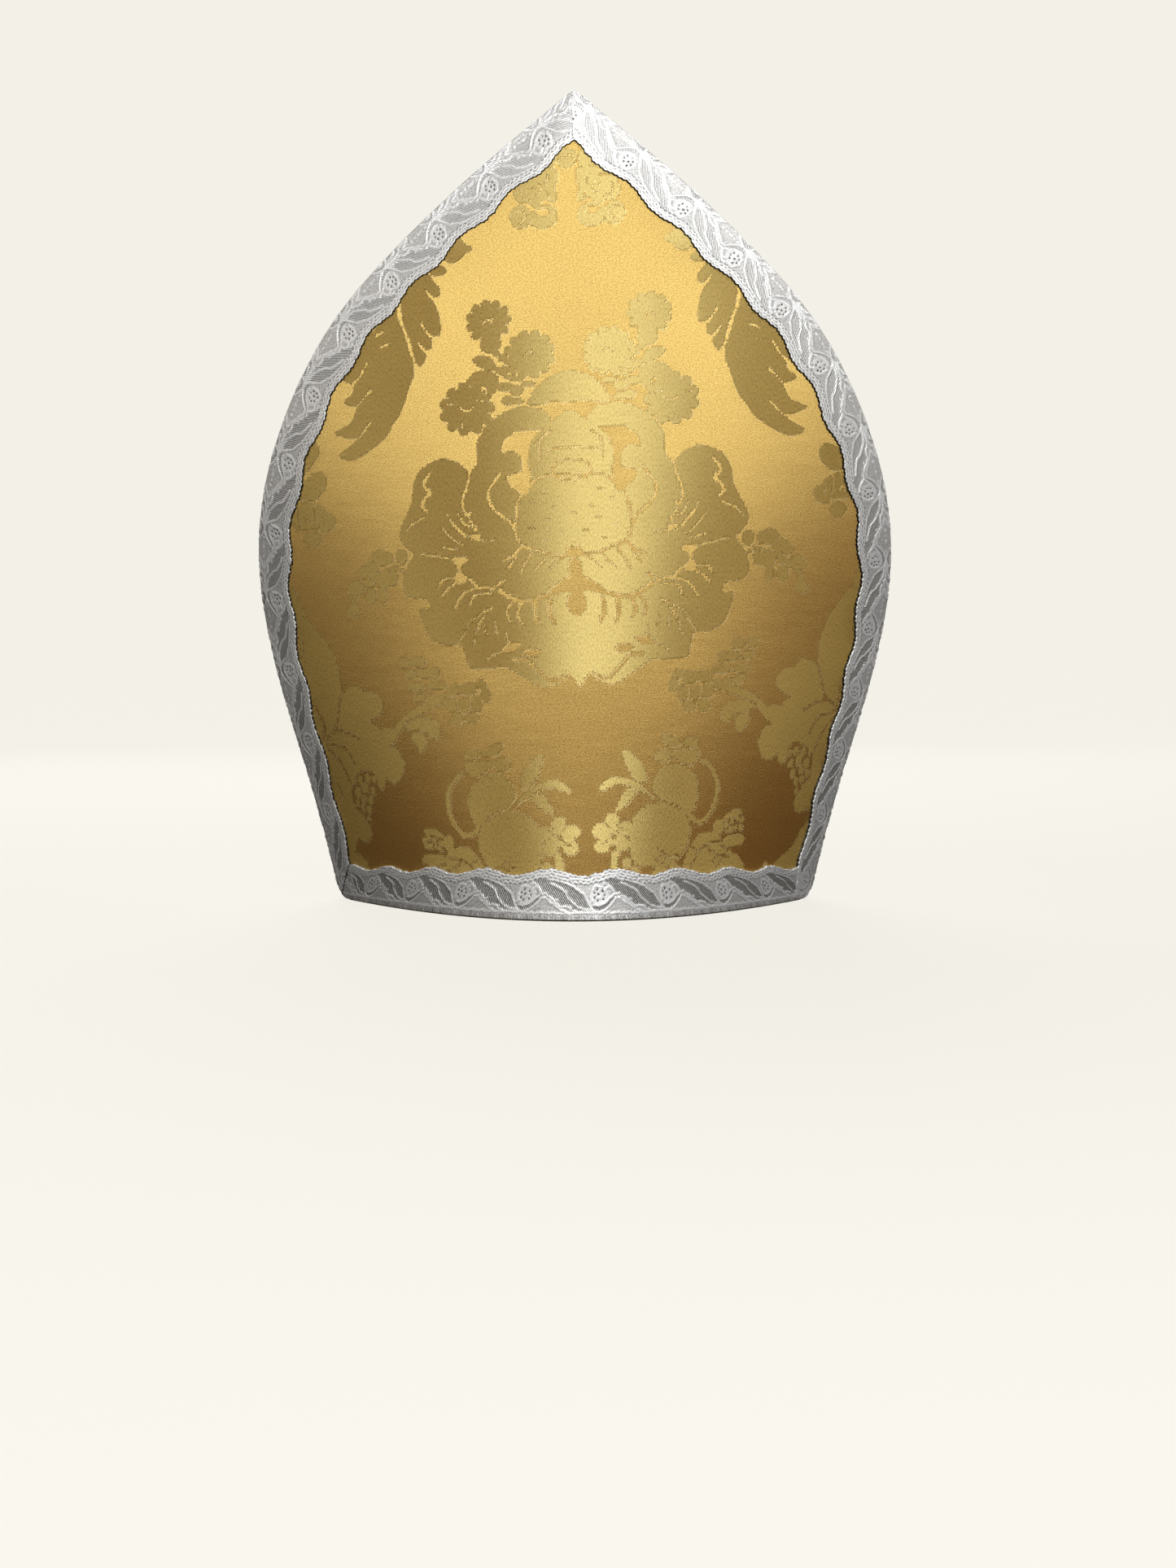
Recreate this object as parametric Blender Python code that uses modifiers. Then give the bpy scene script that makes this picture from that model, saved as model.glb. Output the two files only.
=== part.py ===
"""A bishop's mitre: two stiff damask horns edged with silver galloon, joined by a soft gusset.

The front horn faces -Y and the back horn +Y. The rims of both lie on the plane Z = 0, and the
side seams lie on the plane Y = 0. Sizes are in metres, angles in degrees.
"""

import math

import bmesh
import bpy

# Driving sizes of the stiff horns
HEIGHT = 0.3530            # from the rim to the tip
RIM_REACH = 0.0970         # seam plane to the front centre, at the rim
TIP_REACH = 0.0655         # seam plane to the tip
WALL = 0.0024              # damask, buckram and lining together
SEAM_GAP = 0.0003          # between the two horns along the side seams

# The galloon that edges each horn
GALLOON_WIDTH = 0.0182
GALLOON_THICK = 0.0009
GALLOON_SEAT = 0.0005      # gap between the galloon and the damask
HEM_CLEAR = 0.0006         # the hem galloon's lower edge above the rim
MITRE_GAP = 0.0004         # between hem and edge galloon at the lower corners
CORNER_SPREAD = 0.0060     # the mitre's fan of rows opens by this much up the edge

# The soft gusset that folds between the horns
GUSSET_THICK = 0.0010
GUSSET_SEAT = 0.0004       # gap between the gusset and the horn's lining
GUSSET_TURNING = 0.0040    # the gusset's edge is sewn this far inside the horn's edge
GUSSET_START = 0.1270      # height where the gusset leaves the side seams
FOLD_HEIGHT = 0.1120       # the fold line at the middle
FOLD_RISE = 0.0110         # how much the fold line climbs to the side seams

# How finely each piece is lofted
HORN_COLUMNS = 18
ROWS_BELOW_SEAM_TOP = 9
ROWS_ABOVE_SEAM_TOP = 17
EDGE_ROWS = 30
CORNER_ROWS = 6            # rows that fan round each lower corner
HEM_ROWS = 36
STRIP_COLUMNS = (0.0, 0.35, 0.7, 1.0)   # places across a galloon, from its outer line
GUSSET_ROWS = 36
GUSSET_COLUMNS = 8
SECTION_STEPS = 16         # straight steps used to measure along a section

SEAM_TOP = 0.1150          # the side seams close the horns up to this height
TIP_HALF_WIDTH = 0.0020    # the tip is blunt by this much

# The horn's shape: one row for each height.
#   height       above the rim
#   half_width   from the middle to the edge
#   edge_reach   from the seam plane forward to the edge
#   edge_angle   of the cloth at the edge, turned back from facing straight ahead
HORN_SHAPE = (
    # height, half_width, edge_reach, edge_angle
    (0.0000, 0.1052, 0.0000, 61.0),
    (0.0100, 0.1084, 0.0000, 61.0),
    (0.0300, 0.1124, 0.0000, 60.0),
    (0.0600, 0.1215, 0.0000, 57.0),
    (0.0900, 0.1312, 0.0000, 50.0),
    (0.1200, 0.1384, 0.0002, 43.0),
    (0.1500, 0.1419, 0.0070, 38.0),
    (0.1800, 0.1395, 0.0165, 35.0),
    (0.2100, 0.1308, 0.0265, 32.0),
    (0.2400, 0.1168, 0.0362, 28.0),
    (0.2650, 0.1000, 0.0438, 24.0),
    (0.2900, 0.0762, 0.0508, 19.0),
    (0.3200, 0.0432, 0.0584, 10.0),
    (0.3530, TIP_HALF_WIDTH, 0.0652, 1.0),
)
HALF_WIDTH, EDGE_REACH, EDGE_ANGLE = 1, 2, 3


def shape_at(height, column):
    """One column of HORN_SHAPE at any height, along a smooth curve through its rows."""
    last = len(HORN_SHAPE) - 2
    row = next((i for i in range(last) if height < HORN_SHAPE[i + 1][0]), last)
    low, high = HORN_SHAPE[row], HORN_SHAPE[row + 1]
    before = HORN_SHAPE[max(row - 1, 0)]
    after = HORN_SHAPE[min(row + 2, last + 1)]
    span = high[0] - low[0]
    f = min(max((height - low[0]) / span, 0.0), 1.0)
    slope_low = (high[column] - before[column]) / (high[0] - before[0]) * span
    slope_high = (after[column] - low[column]) / (after[0] - low[0]) * span
    return (low[column] * (2 * f ** 3 - 3 * f ** 2 + 1) + slope_low * (f ** 3 - 2 * f ** 2 + f)
            + high[column] * (3 * f ** 2 - 2 * f ** 3) + slope_high * (f ** 3 - f ** 2))


def section(height):
    """The horn's section: half width, reach of its middle, and the two terms of its curve."""
    half_width = shape_at(height, HALF_WIDTH)
    middle = RIM_REACH + (TIP_REACH - RIM_REACH) * height / HEIGHT
    edge = max(shape_at(height, EDGE_REACH), SEAM_GAP / 2)
    drop = middle - edge
    end_slope = half_width * math.tan(math.radians(shape_at(height, EDGE_ANGLE)))
    fourth = (end_slope - 2 * drop) / 2
    return half_width, middle, drop - fourth, fourth


def horn_point(across, height, inward):
    """A point on the front horn: across from -1 to 1, moved inward from the outer face."""
    half_width, middle, second, fourth = section(height)
    slope = (2 * second * across + 4 * fourth * across ** 3) / half_width
    x = half_width * across
    y = -middle + second * across ** 2 + fourth * across ** 4
    length = math.hypot(slope, 1.0)
    return x - inward * slope / length, y + inward / length, height


def cloth_length(across, height):
    """The length of cloth from the horn's middle to a place across it."""
    half_width, _, second, fourth = section(height)
    total = 0.0
    x_before, y_before = 0.0, 0.0
    for step in range(1, SECTION_STEPS + 1):
        t = across * step / SECTION_STEPS
        x = half_width * t
        y = second * t ** 2 + fourth * t ** 4
        total += math.hypot(x - x_before, y - y_before)
        x_before, y_before = x, y
    return total


def across_at(length, height):
    """The place across the horn that lies this length of cloth from its middle."""
    low, high = 0.0, 1.2
    for _ in range(40):
        mid = (low + high) / 2
        if cloth_length(mid, height) < abs(length):
            low = mid
        else:
            high = mid
    return math.copysign(low, length)


def cloth_point(length, height, inward):
    """A point of the horn from its place on the flat cloth."""
    return horn_point(across_at(length, height), height, inward)


def widest_across(height, inward):
    """How far across a layer may reach before it would cross the seam plane."""
    if horn_point(1.0, height, inward)[1] <= -SEAM_GAP / 2:
        return 1.0
    low, high = 0.5, 1.0
    for _ in range(40):
        mid = (low + high) / 2
        if horn_point(mid, height, inward)[1] <= -SEAM_GAP / 2:
            low = mid
        else:
            high = mid
    return low


def material(name, colour, roughness, metallic):
    """A plain material in the piece's colour."""
    made = bpy.data.materials.new(name)
    made.use_nodes = True
    shader = made.node_tree.nodes["Principled BSDF"]
    shader.inputs["Base Color"].default_value = (*colour, 1.0)
    shader.inputs["Roughness"].default_value = roughness
    shader.inputs["Metallic"].default_value = metallic
    return made


def loft(name, outer, inner, surface, pieces):
    """One closed solid between two skins, each a grid of rows of points."""
    mesh = bmesh.new()
    outer_grid = [[mesh.verts.new(point) for point in row] for row in outer]
    inner_grid = [[mesh.verts.new(point) for point in row] for row in inner]
    rows, columns = len(outer), len(outer[0])
    for i in range(rows - 1):
        for j in range(columns - 1):
            for grid in (outer_grid, inner_grid):
                mesh.faces.new((grid[i][j], grid[i][j + 1], grid[i + 1][j + 1], grid[i + 1][j]))
    rim = [(0, j) for j in range(columns)]
    rim += [(i, columns - 1) for i in range(1, rows)]
    rim += [(rows - 1, j) for j in range(columns - 2, -1, -1)]
    rim += [(i, 0) for i in range(rows - 2, 0, -1)]
    for (i, j), (k, m) in zip(rim, rim[1:] + rim[:1]):
        mesh.faces.new((outer_grid[i][j], outer_grid[k][m], inner_grid[k][m], inner_grid[i][j]))
    bmesh.ops.recalc_face_normals(mesh, faces=mesh.faces)
    data = bpy.data.meshes.new(name)
    mesh.to_mesh(data)
    mesh.free()
    data.materials.append(surface)
    data.shade_smooth()
    data.set_sharp_from_angle(angle=math.radians(40))
    made = bpy.data.objects.new(name, data)
    pieces.objects.link(made)
    return made


def turned(rows, facing):
    """Rows of points for the front horn, or turned to the back horn when facing is 1."""
    return [[(-facing * x, -facing * y, z) for x, y, z in row] for row in rows]


def horn_heights():
    """The heights of a horn's rows, with one row on the top of the side seams."""
    below = [SEAM_TOP * i / ROWS_BELOW_SEAM_TOP for i in range(ROWS_BELOW_SEAM_TOP)]
    above = [SEAM_TOP + (HEIGHT - SEAM_TOP) * i / ROWS_ABOVE_SEAM_TOP
             for i in range(ROWS_ABOVE_SEAM_TOP + 1)]
    return below + above


def horn(name, facing, surface, pieces):
    """A stiff horn, hollow behind, with a flat rim below."""
    outer, inner = [], []
    for height in horn_heights():
        places = [2 * j / HORN_COLUMNS - 1 for j in range(HORN_COLUMNS + 1)]
        reach = widest_across(height, WALL)
        outer.append([horn_point(place, height, 0.0) for place in places])
        inner.append([horn_point(place * reach, height, WALL) for place in places])
    return loft(name, turned(outer, facing), turned(inner, facing), surface, pieces)


def edge_length(height):
    """The flat cloth's half width at a height."""
    return cloth_length(1.0, height)


def inside_edge(height, distance):
    """The place on the flat cloth that lies square in from the edge by a distance."""
    step = 0.002
    low, high = max(height - step, 0.0), min(height + step, HEIGHT)
    lean = (edge_length(high) - edge_length(low)) / (high - low)
    size = math.hypot(lean, 1.0)
    return edge_length(height) - distance / size, height + distance * lean / size


def inner_corner():
    """Where the edge galloon's inner line meets the hem galloon's upper line."""
    low, high = 0.0, 2 * GALLOON_WIDTH
    for _ in range(40):
        mid = (low + high) / 2
        if inside_edge(mid, GALLOON_WIDTH)[1] < HEM_CLEAR + GALLOON_WIDTH:
            low = mid
        else:
            high = mid
    return low, inside_edge(low, GALLOON_WIDTH)


def strip_skins(rows):
    """Both faces of a galloon whose rows run from one place on the flat cloth to another."""
    skins = []
    for lift in (GALLOON_SEAT + GALLOON_THICK, GALLOON_SEAT):
        skin = []
        for (length_a, height_a), (length_b, height_b) in rows:
            skin.append([cloth_point(length_a + (length_b - length_a) * f,
                                     height_a + (height_b - height_a) * f, -lift)
                         for f in STRIP_COLUMNS])
        skins.append(skin)
    return skins


def edge_galloon(name, facing, surface, pieces):
    """The galloon up one edge of a horn, over the tip and down the other."""
    corner_height, corner = inner_corner()
    half = []
    first = corner_height + CORNER_SPREAD
    first_inner = inside_edge(first, GALLOON_WIDTH)
    for step in range(CORNER_ROWS):
        f = step / CORNER_ROWS
        height = HEM_CLEAR + (first - HEM_CLEAR) * f
        inner = (corner[0] + (first_inner[0] - corner[0]) * f,
                 corner[1] + (first_inner[1] - corner[1]) * f)
        half.append(((edge_length(height), height), inner))
    for step in range(EDGE_ROWS + 1):
        height = first + (HEIGHT - first) * step / EDGE_ROWS
        inner = inside_edge(height, GALLOON_WIDTH)
        if inner[0] < TIP_HALF_WIDTH:
            break
        half.append(((edge_length(height), height), inner))
    run, rise = half[-1][0][0] - 0.0, HEIGHT - half[-1][0][1]
    fold = GALLOON_WIDTH * math.hypot(run, rise) / run
    top = [((0.0, HEIGHT), (0.0, HEIGHT - fold))]
    other = [((-a, b), (-c, d)) for (a, b), (c, d) in reversed(half)]
    outer, inner = strip_skins(half + top + other)
    return loft(name, turned(outer, facing), turned(inner, facing), surface, pieces)


def hem_galloon(name, facing, surface, pieces):
    """The galloon along the hem of a horn, mitred at the lower corners."""
    _, corner = inner_corner()
    below = edge_length(HEM_CLEAR) - MITRE_GAP
    above = corner[0] - MITRE_GAP
    rows = []
    for step in range(HEM_ROWS + 1):
        f = 2 * step / HEM_ROWS - 1
        rows.append(((f * below, HEM_CLEAR), (f * above, HEM_CLEAR + GALLOON_WIDTH)))
    outer, inner = strip_skins(rows)
    return loft(name, turned(outer, facing), turned(inner, facing), surface, pieces)


def gusset(name, surface, pieces):
    """The soft cloth between the horns: sewn inside both edges, folded down along the middle."""
    depth = WALL + GUSSET_SEAT + GUSSET_THICK
    start = cloth_point(*inside_edge(GUSSET_START, GUSSET_TURNING), depth)
    rows = []
    for step in range(-GUSSET_ROWS // 2, GUSSET_ROWS // 2 + 1):
        f = 1 - abs(step) / (GUSSET_ROWS / 2)
        side = -1 if step < 0 else 1
        height = GUSSET_START + (HEIGHT - 2 * GUSSET_TURNING - GUSSET_START) * f
        length, level = inside_edge(height, GUSSET_TURNING)
        x, y, z = cloth_point(max(length, 0.0) if step else 0.0, min(level, height), depth)
        fold_x = start[0] * (1 - f) ** 0.9
        fold_z = FOLD_HEIGHT + FOLD_RISE * (1 - f) ** 6
        row = []
        for j in range(GUSSET_COLUMNS + 1):
            g = 2 * j / GUSSET_COLUMNS - 1
            drop = 1 - abs(g)
            row.append((side * (x + (fold_x - x) * drop), -y * g, z + (fold_z - z) * drop))
        rows.append(row)
    data = bpy.data.meshes.new(name)
    columns = GUSSET_COLUMNS + 1
    faces = [(i * columns + j, i * columns + j + 1, (i + 1) * columns + j + 1,
              (i + 1) * columns + j)
             for i in range(len(rows) - 1) for j in range(GUSSET_COLUMNS)]
    data.from_pydata([point for row in rows for point in row], [], faces)
    data.materials.append(surface)
    data.shade_smooth()
    made = bpy.data.objects.new(name, data)
    pieces.objects.link(made)
    thick = made.modifiers.new("cloth thickness", "SOLIDIFY")
    thick.thickness = GUSSET_THICK
    thick.offset = 0.0
    return made


def main():
    for old in list(bpy.data.objects):
        bpy.data.objects.remove(old, do_unlink=True)
    pieces = bpy.data.collections.new("bishop mitre")
    bpy.context.scene.collection.children.link(pieces)

    damask = material("gold damask", (0.52, 0.36, 0.12), 0.45, 0.0)
    silver = material("silver galloon", (0.45, 0.45, 0.46), 0.40, 0.3)
    plain_gold = material("plain gold cloth", (0.50, 0.33, 0.11), 0.60, 0.0)

    for side, facing in (("front", -1), ("back", 1)):
        horn(side + "_panel", facing, damask, pieces)
        edge_galloon(side + "_edge_galloon", facing, silver, pieces)
        hem_galloon(side + "_hem_galloon", facing, silver, pieces)
    gusset("crown_gusset", plain_gold, pieces)


main()
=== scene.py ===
"""A bishop's mitre: two stiff horns of gold damask, bound with silver galloon.

Between the horns a soft gusset folds down. Lengths are in metres unless a name
ends in _mm. The front horn faces -Y, the rim stands on the floor at Z = 0 and
the two horns meet in the plane Y = 0.
"""
import math

import bpy
import numpy as np
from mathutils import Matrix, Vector


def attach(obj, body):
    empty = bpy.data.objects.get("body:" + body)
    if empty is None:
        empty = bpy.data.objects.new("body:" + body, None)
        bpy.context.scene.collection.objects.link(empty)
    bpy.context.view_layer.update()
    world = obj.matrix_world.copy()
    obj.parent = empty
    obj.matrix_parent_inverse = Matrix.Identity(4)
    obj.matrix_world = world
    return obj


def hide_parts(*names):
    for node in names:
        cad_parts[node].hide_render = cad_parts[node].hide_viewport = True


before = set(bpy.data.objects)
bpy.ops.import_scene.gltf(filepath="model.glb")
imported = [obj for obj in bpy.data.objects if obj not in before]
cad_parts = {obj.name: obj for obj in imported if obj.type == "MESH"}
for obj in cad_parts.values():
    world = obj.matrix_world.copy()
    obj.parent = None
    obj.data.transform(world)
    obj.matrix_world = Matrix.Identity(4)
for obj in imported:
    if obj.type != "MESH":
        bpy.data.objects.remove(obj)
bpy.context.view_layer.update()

MM = 0.001

# ---- the horns, the same figures as the solids ----
HEIGHT = 0.3530             # from the rim to the tip
RIM_REACH = 0.0970          # seam plane to the front centre, at the rim
TIP_REACH = 0.0655          # seam plane to the tip
WALL = 0.0024               # damask, buckram and lining together
SEAM_GAP = 0.0003           # between the two horns along the side seams
TIP_HALF_WIDTH = 0.0020     # the tip is blunt by this much
CORNER_ROUND = 0.0080       # the rounding of the lower corners
RIM_HALF_CLOTH = 0.2100     # half the rim, were the cloth all as steep as at its edge

# height, half width, how far the edge stands from the seam plane,
# and how far the cloth has turned from flat at its edge, in degrees
HORN_SHAPE = np.array((
    (0.0000, 0.1060, 0.0000, 61.0),
    (0.0100, 0.1084, 0.0000, 61.0),
    (0.0300, 0.1133, 0.0000, 59.5),
    (0.0600, 0.1217, 0.0000, 56.0),
    (0.0900, 0.1309, 0.0000, 50.0),
    (0.1200, 0.1384, 0.0002, 43.0),
    (0.1500, 0.1419, 0.0070, 38.0),
    (0.1800, 0.1395, 0.0165, 35.0),
    (0.2100, 0.1308, 0.0265, 32.0),
    (0.2400, 0.1168, 0.0362, 28.0),
    (0.2650, 0.1000, 0.0438, 24.0),
    (0.2900, 0.0762, 0.0508, 19.0),
    (0.3200, 0.0432, 0.0584, 10.0),
    (0.3530, TIP_HALF_WIDTH, 0.0652, 1.0),
))
HALF_WIDTH, EDGE_REACH, EDGE_ANGLE = 1, 2, 3      # columns of the table

# ---- the galloon, a lace-edged silver braid ----
GALLOON_WIDTH = 0.0182      # selvedge to the middle of its scalloped edge, along the hem
EDGE_WIDTH = 0.0169         # the same along the edges, where the braid is eased round the curve
GALLOON_LIFT = 0.0010       # its face above the damask
HEM_CLEAR = 0.0006          # the hem galloon's selvedge above the rim
MITRE_GAP = 0.0008          # between hem and edge galloon at the lower corners
TIP_LAP_MM = 1.2            # the right galloon laps over the left one at the tip

# ---- the gusset ----
GUSSET_SEAT = 0.0006        # gap between the gusset and the horn's lining
GUSSET_THICK = 0.0008
GUSSET_TURNING = 0.0040     # its edge is sewn this far inside the horn's edge
GUSSET_START = 0.1270       # height where it leaves the side seams
FOLD_HEIGHT = 0.1120        # the fold line at the middle
FOLD_RISE = 0.0110          # how much the fold line climbs to the side seams
GUSSET_GRID = (121, 49)     # rows and columns of points
CREASE = 0.0006             # how softly the fold bends, squared

# ---- the photograph's view ----
CAMERA_PLACE = (0.006, -1.3722, 0.141)
CAMERA_PITCH_DOWN = 3.696   # degrees
CAMERA_LENS, CAMERA_SENSOR = 69.20, 36.0    # millimetres
PALE = (0.896, 0.871, 0.799)    # the colour of the studio's paper


# ======================================================================
# The horn's surface
# ======================================================================

def table_curve(height, column):
    """One column of the horn's table at a height, on a curve through its rows."""
    z = np.clip(np.asarray(height, float), 0, HEIGHT)
    row = np.clip(np.searchsorted(HORN_SHAPE[:, 0], z, side="right") - 1, 0, len(HORN_SHAPE) - 2)
    low, high = HORN_SHAPE[row], HORN_SHAPE[row + 1]
    before = HORN_SHAPE[np.maximum(row - 1, 0)]
    after = HORN_SHAPE[np.minimum(row + 2, len(HORN_SHAPE) - 1)]
    span = high[..., 0] - low[..., 0]
    f = (z - low[..., 0]) / span
    leave = (high[..., column] - before[..., column]) / (high[..., 0] - before[..., 0]) * span
    reach = (after[..., column] - low[..., column]) / (after[..., 0] - low[..., 0]) * span
    return (low[..., column] * (2 * f**3 - 3 * f**2 + 1) + leave * (f**3 - 2 * f**2 + f)
            + high[..., column] * (3 * f**2 - 2 * f**3) + reach * (f**3 - f**2))


FINE_STEP = 0.001           # between the heights that the eased columns are kept at
FINE_HEIGHTS = np.arange(0, HEIGHT + FINE_STEP / 2, FINE_STEP)


def eased(column, spread):
    """A column of the table at the fine heights, eased over a height so that the cloth has no kink."""
    reach = int(3 * spread / FINE_STEP)
    rim, tip = FINE_HEIGHTS[0], FINE_HEIGHTS[-1]
    beyond = np.concatenate([rim - np.arange(reach, 0, -1) * FINE_STEP, FINE_HEIGHTS,
                             tip + np.arange(1, reach + 1) * FINE_STEP])
    under, over = beyond < rim, beyond > tip
    mirrored = np.where(under, 2 * rim - beyond, np.where(over, 2 * tip - beyond, beyond))
    values = table_curve(mirrored, column)
    low, high = table_curve(rim, column), table_curve(tip, column)
    values = np.where(under, 2 * low - values, np.where(over, 2 * high - values, values))
    weights = np.exp(-0.5 * (np.arange(-reach, reach + 1) * FINE_STEP / spread) ** 2)
    return np.convolve(values, weights / weights.sum(), "valid")


EASING = {HALF_WIDTH: 0.008, EDGE_REACH: 0.026, EDGE_ANGLE: 0.022}      # over how much height
EASED = {column: eased(column, spread) for column, spread in EASING.items()}
SEAM_POWER = 10             # how close to the edge the cloth bends to meet the seam


def shape_at(height, column):
    """One column of the horn's table at a height, eased."""
    return np.interp(height, FINE_HEIGHTS, EASED[column])


def section(height):
    """Half width, reach at the middle and the two curve figures of a level section."""
    half = shape_at(height, HALF_WIDTH)
    middle = RIM_REACH + (TIP_REACH - RIM_REACH) * np.asarray(height) / HEIGHT
    drop = middle - shape_at(height, EDGE_REACH)
    edge_slope = half * np.tan(np.radians(shape_at(height, EDGE_ANGLE)))
    quartic = (edge_slope - 2 * drop) / 2
    return half, middle, drop - quartic, quartic


def edge_bend(height):
    """How far the cloth's very edge is drawn back from the eased curve, to lie in the seam."""
    return shape_at(height, EDGE_REACH) - np.maximum(table_curve(height, EDGE_REACH), SEAM_GAP / 2)


# places and shares of a sum from 0 to 1, for lengths along the cloth
GAUSS_AT, GAUSS_SHARE = np.polynomial.legendre.leggauss(10)
GAUSS_AT, GAUSS_SHARE = (GAUSS_AT + 1) / 2, GAUSS_SHARE / 2


def cloth_length(across, height):
    """Length along the cloth from the middle to a place across, -1 to 1, at a height."""
    half, _, square, quartic = (x[..., None] for x in section(height))
    t = np.asarray(across, float)[..., None] * GAUSS_AT
    steps = np.sqrt(half**2 + (2 * square * t + 4 * quartic * t**3) ** 2)
    return across * (steps * GAUSS_SHARE).sum(-1)


FIRST_GUESS, GUESSES = 0.8, 6       # of the place across, and how often it is brought nearer


def across_at(length, height):
    """The place across the section that lies this far along the cloth from the middle."""
    half, _, square, quartic = section(height)
    t = length / half * FIRST_GUESS
    for _ in range(GUESSES):
        slope = np.sqrt(half**2 + (2 * square * t + 4 * quartic * t**3) ** 2)
        t = t - (cloth_length(t, height) - length) / slope
    return t


def rounded(across, height):
    """A place on the horn, drawn in where it lies near a lower corner, so that the corner is round."""
    reach = CORNER_ROUND / RIM_HALF_CLOTH
    a = np.clip(1 - (1 - np.abs(across)) / reach, 0, 1)
    b = np.clip(1 - height / CORNER_ROUND, 0, 1)
    inner_a, inner_b = a * np.sqrt(1 - b**2 / 2), b * np.sqrt(1 - a**2 / 2)
    return (np.where(a > 0, np.sign(across) * (1 - (1 - inner_a) * reach), across),
            np.where(b > 0, (1 - inner_b) * CORNER_ROUND, height))


def horn_point(across, height, lift=0.0):
    """A point of the front horn, lifted off the face of the cloth."""
    across, height = rounded(across, height)
    half, middle, square, quartic = section(height)
    bend = edge_bend(height)
    slope = (2 * square * across + 4 * quartic * across**3
             + SEAM_POWER * bend * across ** (SEAM_POWER - 1)) / half
    size = np.hypot(slope, 1)
    face = -middle + square * across**2 + quartic * across**4 + bend * across**SEAM_POWER
    return np.stack([half * across + lift * slope / size, face - lift / size, height + 0 * across], -1)


def cloth_point(length, height, lift=0.0):
    """The same, from a place on the flat cloth: along it from the middle, and up."""
    return horn_point(across_at(length, height), height, lift)


def cloth_normal(length, height):
    """The way the cloth faces."""
    step = 0.4 * MM
    along = cloth_point(length + step, height) - cloth_point(length - step, height)
    up = cloth_point(length, height + step) - cloth_point(length, height - step)
    normal = np.cross(along, up)
    return normal / np.linalg.norm(normal, axis=-1, keepdims=True)


def horn_grid(rows, columns):
    """Places over the whole horn, from the rim up and edge to edge, with their lengths on the cloth."""
    height, across = np.meshgrid(np.linspace(0.0, HEIGHT, rows), np.linspace(-1, 1, columns),
                                 indexing="ij")
    return height, across, cloth_length(across, height)


def edge_length(height):
    """The flat cloth's half width at a height."""
    return cloth_length(np.ones_like(height, float), height)


def inside_edge(height, distance):
    """The place on the flat cloth that lies square in from the edge by a distance."""
    step = 2 * MM
    low, high = np.maximum(height - step, 0.0), np.minimum(height + step, HEIGHT)
    lean = (edge_length(high) - edge_length(low)) / (high - low)
    size = np.hypot(lean, 1.0)
    return edge_length(height) - distance / size, height + distance * lean / size


# ======================================================================
# Meshes
# ======================================================================

def turned(points, facing):
    """Points of the front horn, or the same on the back horn."""
    return points if facing < 0 else points * (-1, -1, 1)


def piece(name, points, faces, surfaces, marks=None, normals=None, face_surface=None):
    """A mesh piece of the mitre.

    marks are values kept at its points for the materials, normals the way its points face, and
    face_surface says which of the surfaces each face wears.
    """
    data = bpy.data.meshes.new(name)
    points = np.asarray(points, float).reshape(-1, 3)
    data.from_pydata(points.tolist(), [], [tuple(face) for face in np.asarray(faces).tolist()])
    for surface in surfaces:
        data.materials.append(surface)
    if face_surface is not None:
        data.polygons.foreach_set("material_index", np.asarray(face_surface, np.int32))
    for mark, values in (marks or {}).items():
        values = np.asarray(values, float).reshape(len(points), -1)
        kind = "FLOAT" if values.shape[1] == 1 else "FLOAT_VECTOR"
        field = "value" if kind == "FLOAT" else "vector"
        data.attributes.new(mark, kind, "POINT").data.foreach_set(field, values.ravel())
    data.shade_smooth()
    if normals is not None:
        data.normals_split_custom_set_from_vertices(np.asarray(normals).reshape(-1, 3).tolist())
    data.update()
    made = bpy.data.objects.new(name, data)
    bpy.context.scene.collection.objects.link(made)
    return made


def grid_faces(rows, columns, flip=False, around=False):
    """Four-sided faces of a grid of points, row by row, closed round its columns if asked."""
    i, j = np.meshgrid(np.arange(rows - 1), np.arange(columns if around else columns - 1),
                       indexing="ij")
    i, j = i.ravel(), j.ravel()
    k = (j + 1) % columns
    quad = [i * columns + j, i * columns + k, (i + 1) * columns + k, (i + 1) * columns + j]
    return np.stack(quad[::-1] if flip else quad, -1)


AXIS_REACH = 0.058          # from the seam plane to the axis that each horn's gloss turns about
TEXTURE_REACH = 0.25        # half the size of the space that holds the axis


def set_thread_axis(made, facing):
    """Puts the upright axis that the cloth's gloss turns about behind this horn."""
    made.data.use_auto_texspace = False
    made.data.texspace_location = (0, -facing * AXIS_REACH, HEIGHT / 2)
    made.data.texspace_size = (TEXTURE_REACH,) * 3


# ======================================================================
# Charts: the woven figure and the galloon's pattern, drawn
# ======================================================================

TOOTH_MM = 0.25             # how far the chart's squares step to and fro along an edge
VEIN_OPEN = 1.28            # the bouquet's veins are woven this much wider than drawn


def curve_through(points, closed, steps=5):
    """A smooth line through the points."""
    points = np.asarray(points, float)
    if closed:
        ring = np.vstack([points[-1:], points, points[:2]])
    else:
        ring = np.vstack([2 * points[0] - points[1], points, 2 * points[-1] - points[-2]])
    made = []
    for a, b, c, d in zip(ring, ring[1:], ring[2:], ring[3:]):
        for f in np.arange(steps) / steps:
            made.append(0.5 * (2 * b + (c - a) * f + (2 * a - 5 * b + 4 * c - d) * f**2
                               + (3 * b - a - 3 * c + d) * f**3))
    if not closed:
        made.append(points[-1])
    return np.array(made)


def lies_in(x, y, outline):
    """Which points lie inside a closed outline."""
    inside = np.zeros(x.shape, bool)
    for (ax, ay), (bx, by) in zip(outline, np.roll(outline, -1, 0)):
        if ay != by:
            inside ^= ((ay > y) != (by > y)) & (x < (bx - ax) * (y - ay) / (by - ay) + ax)
    return inside


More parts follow.
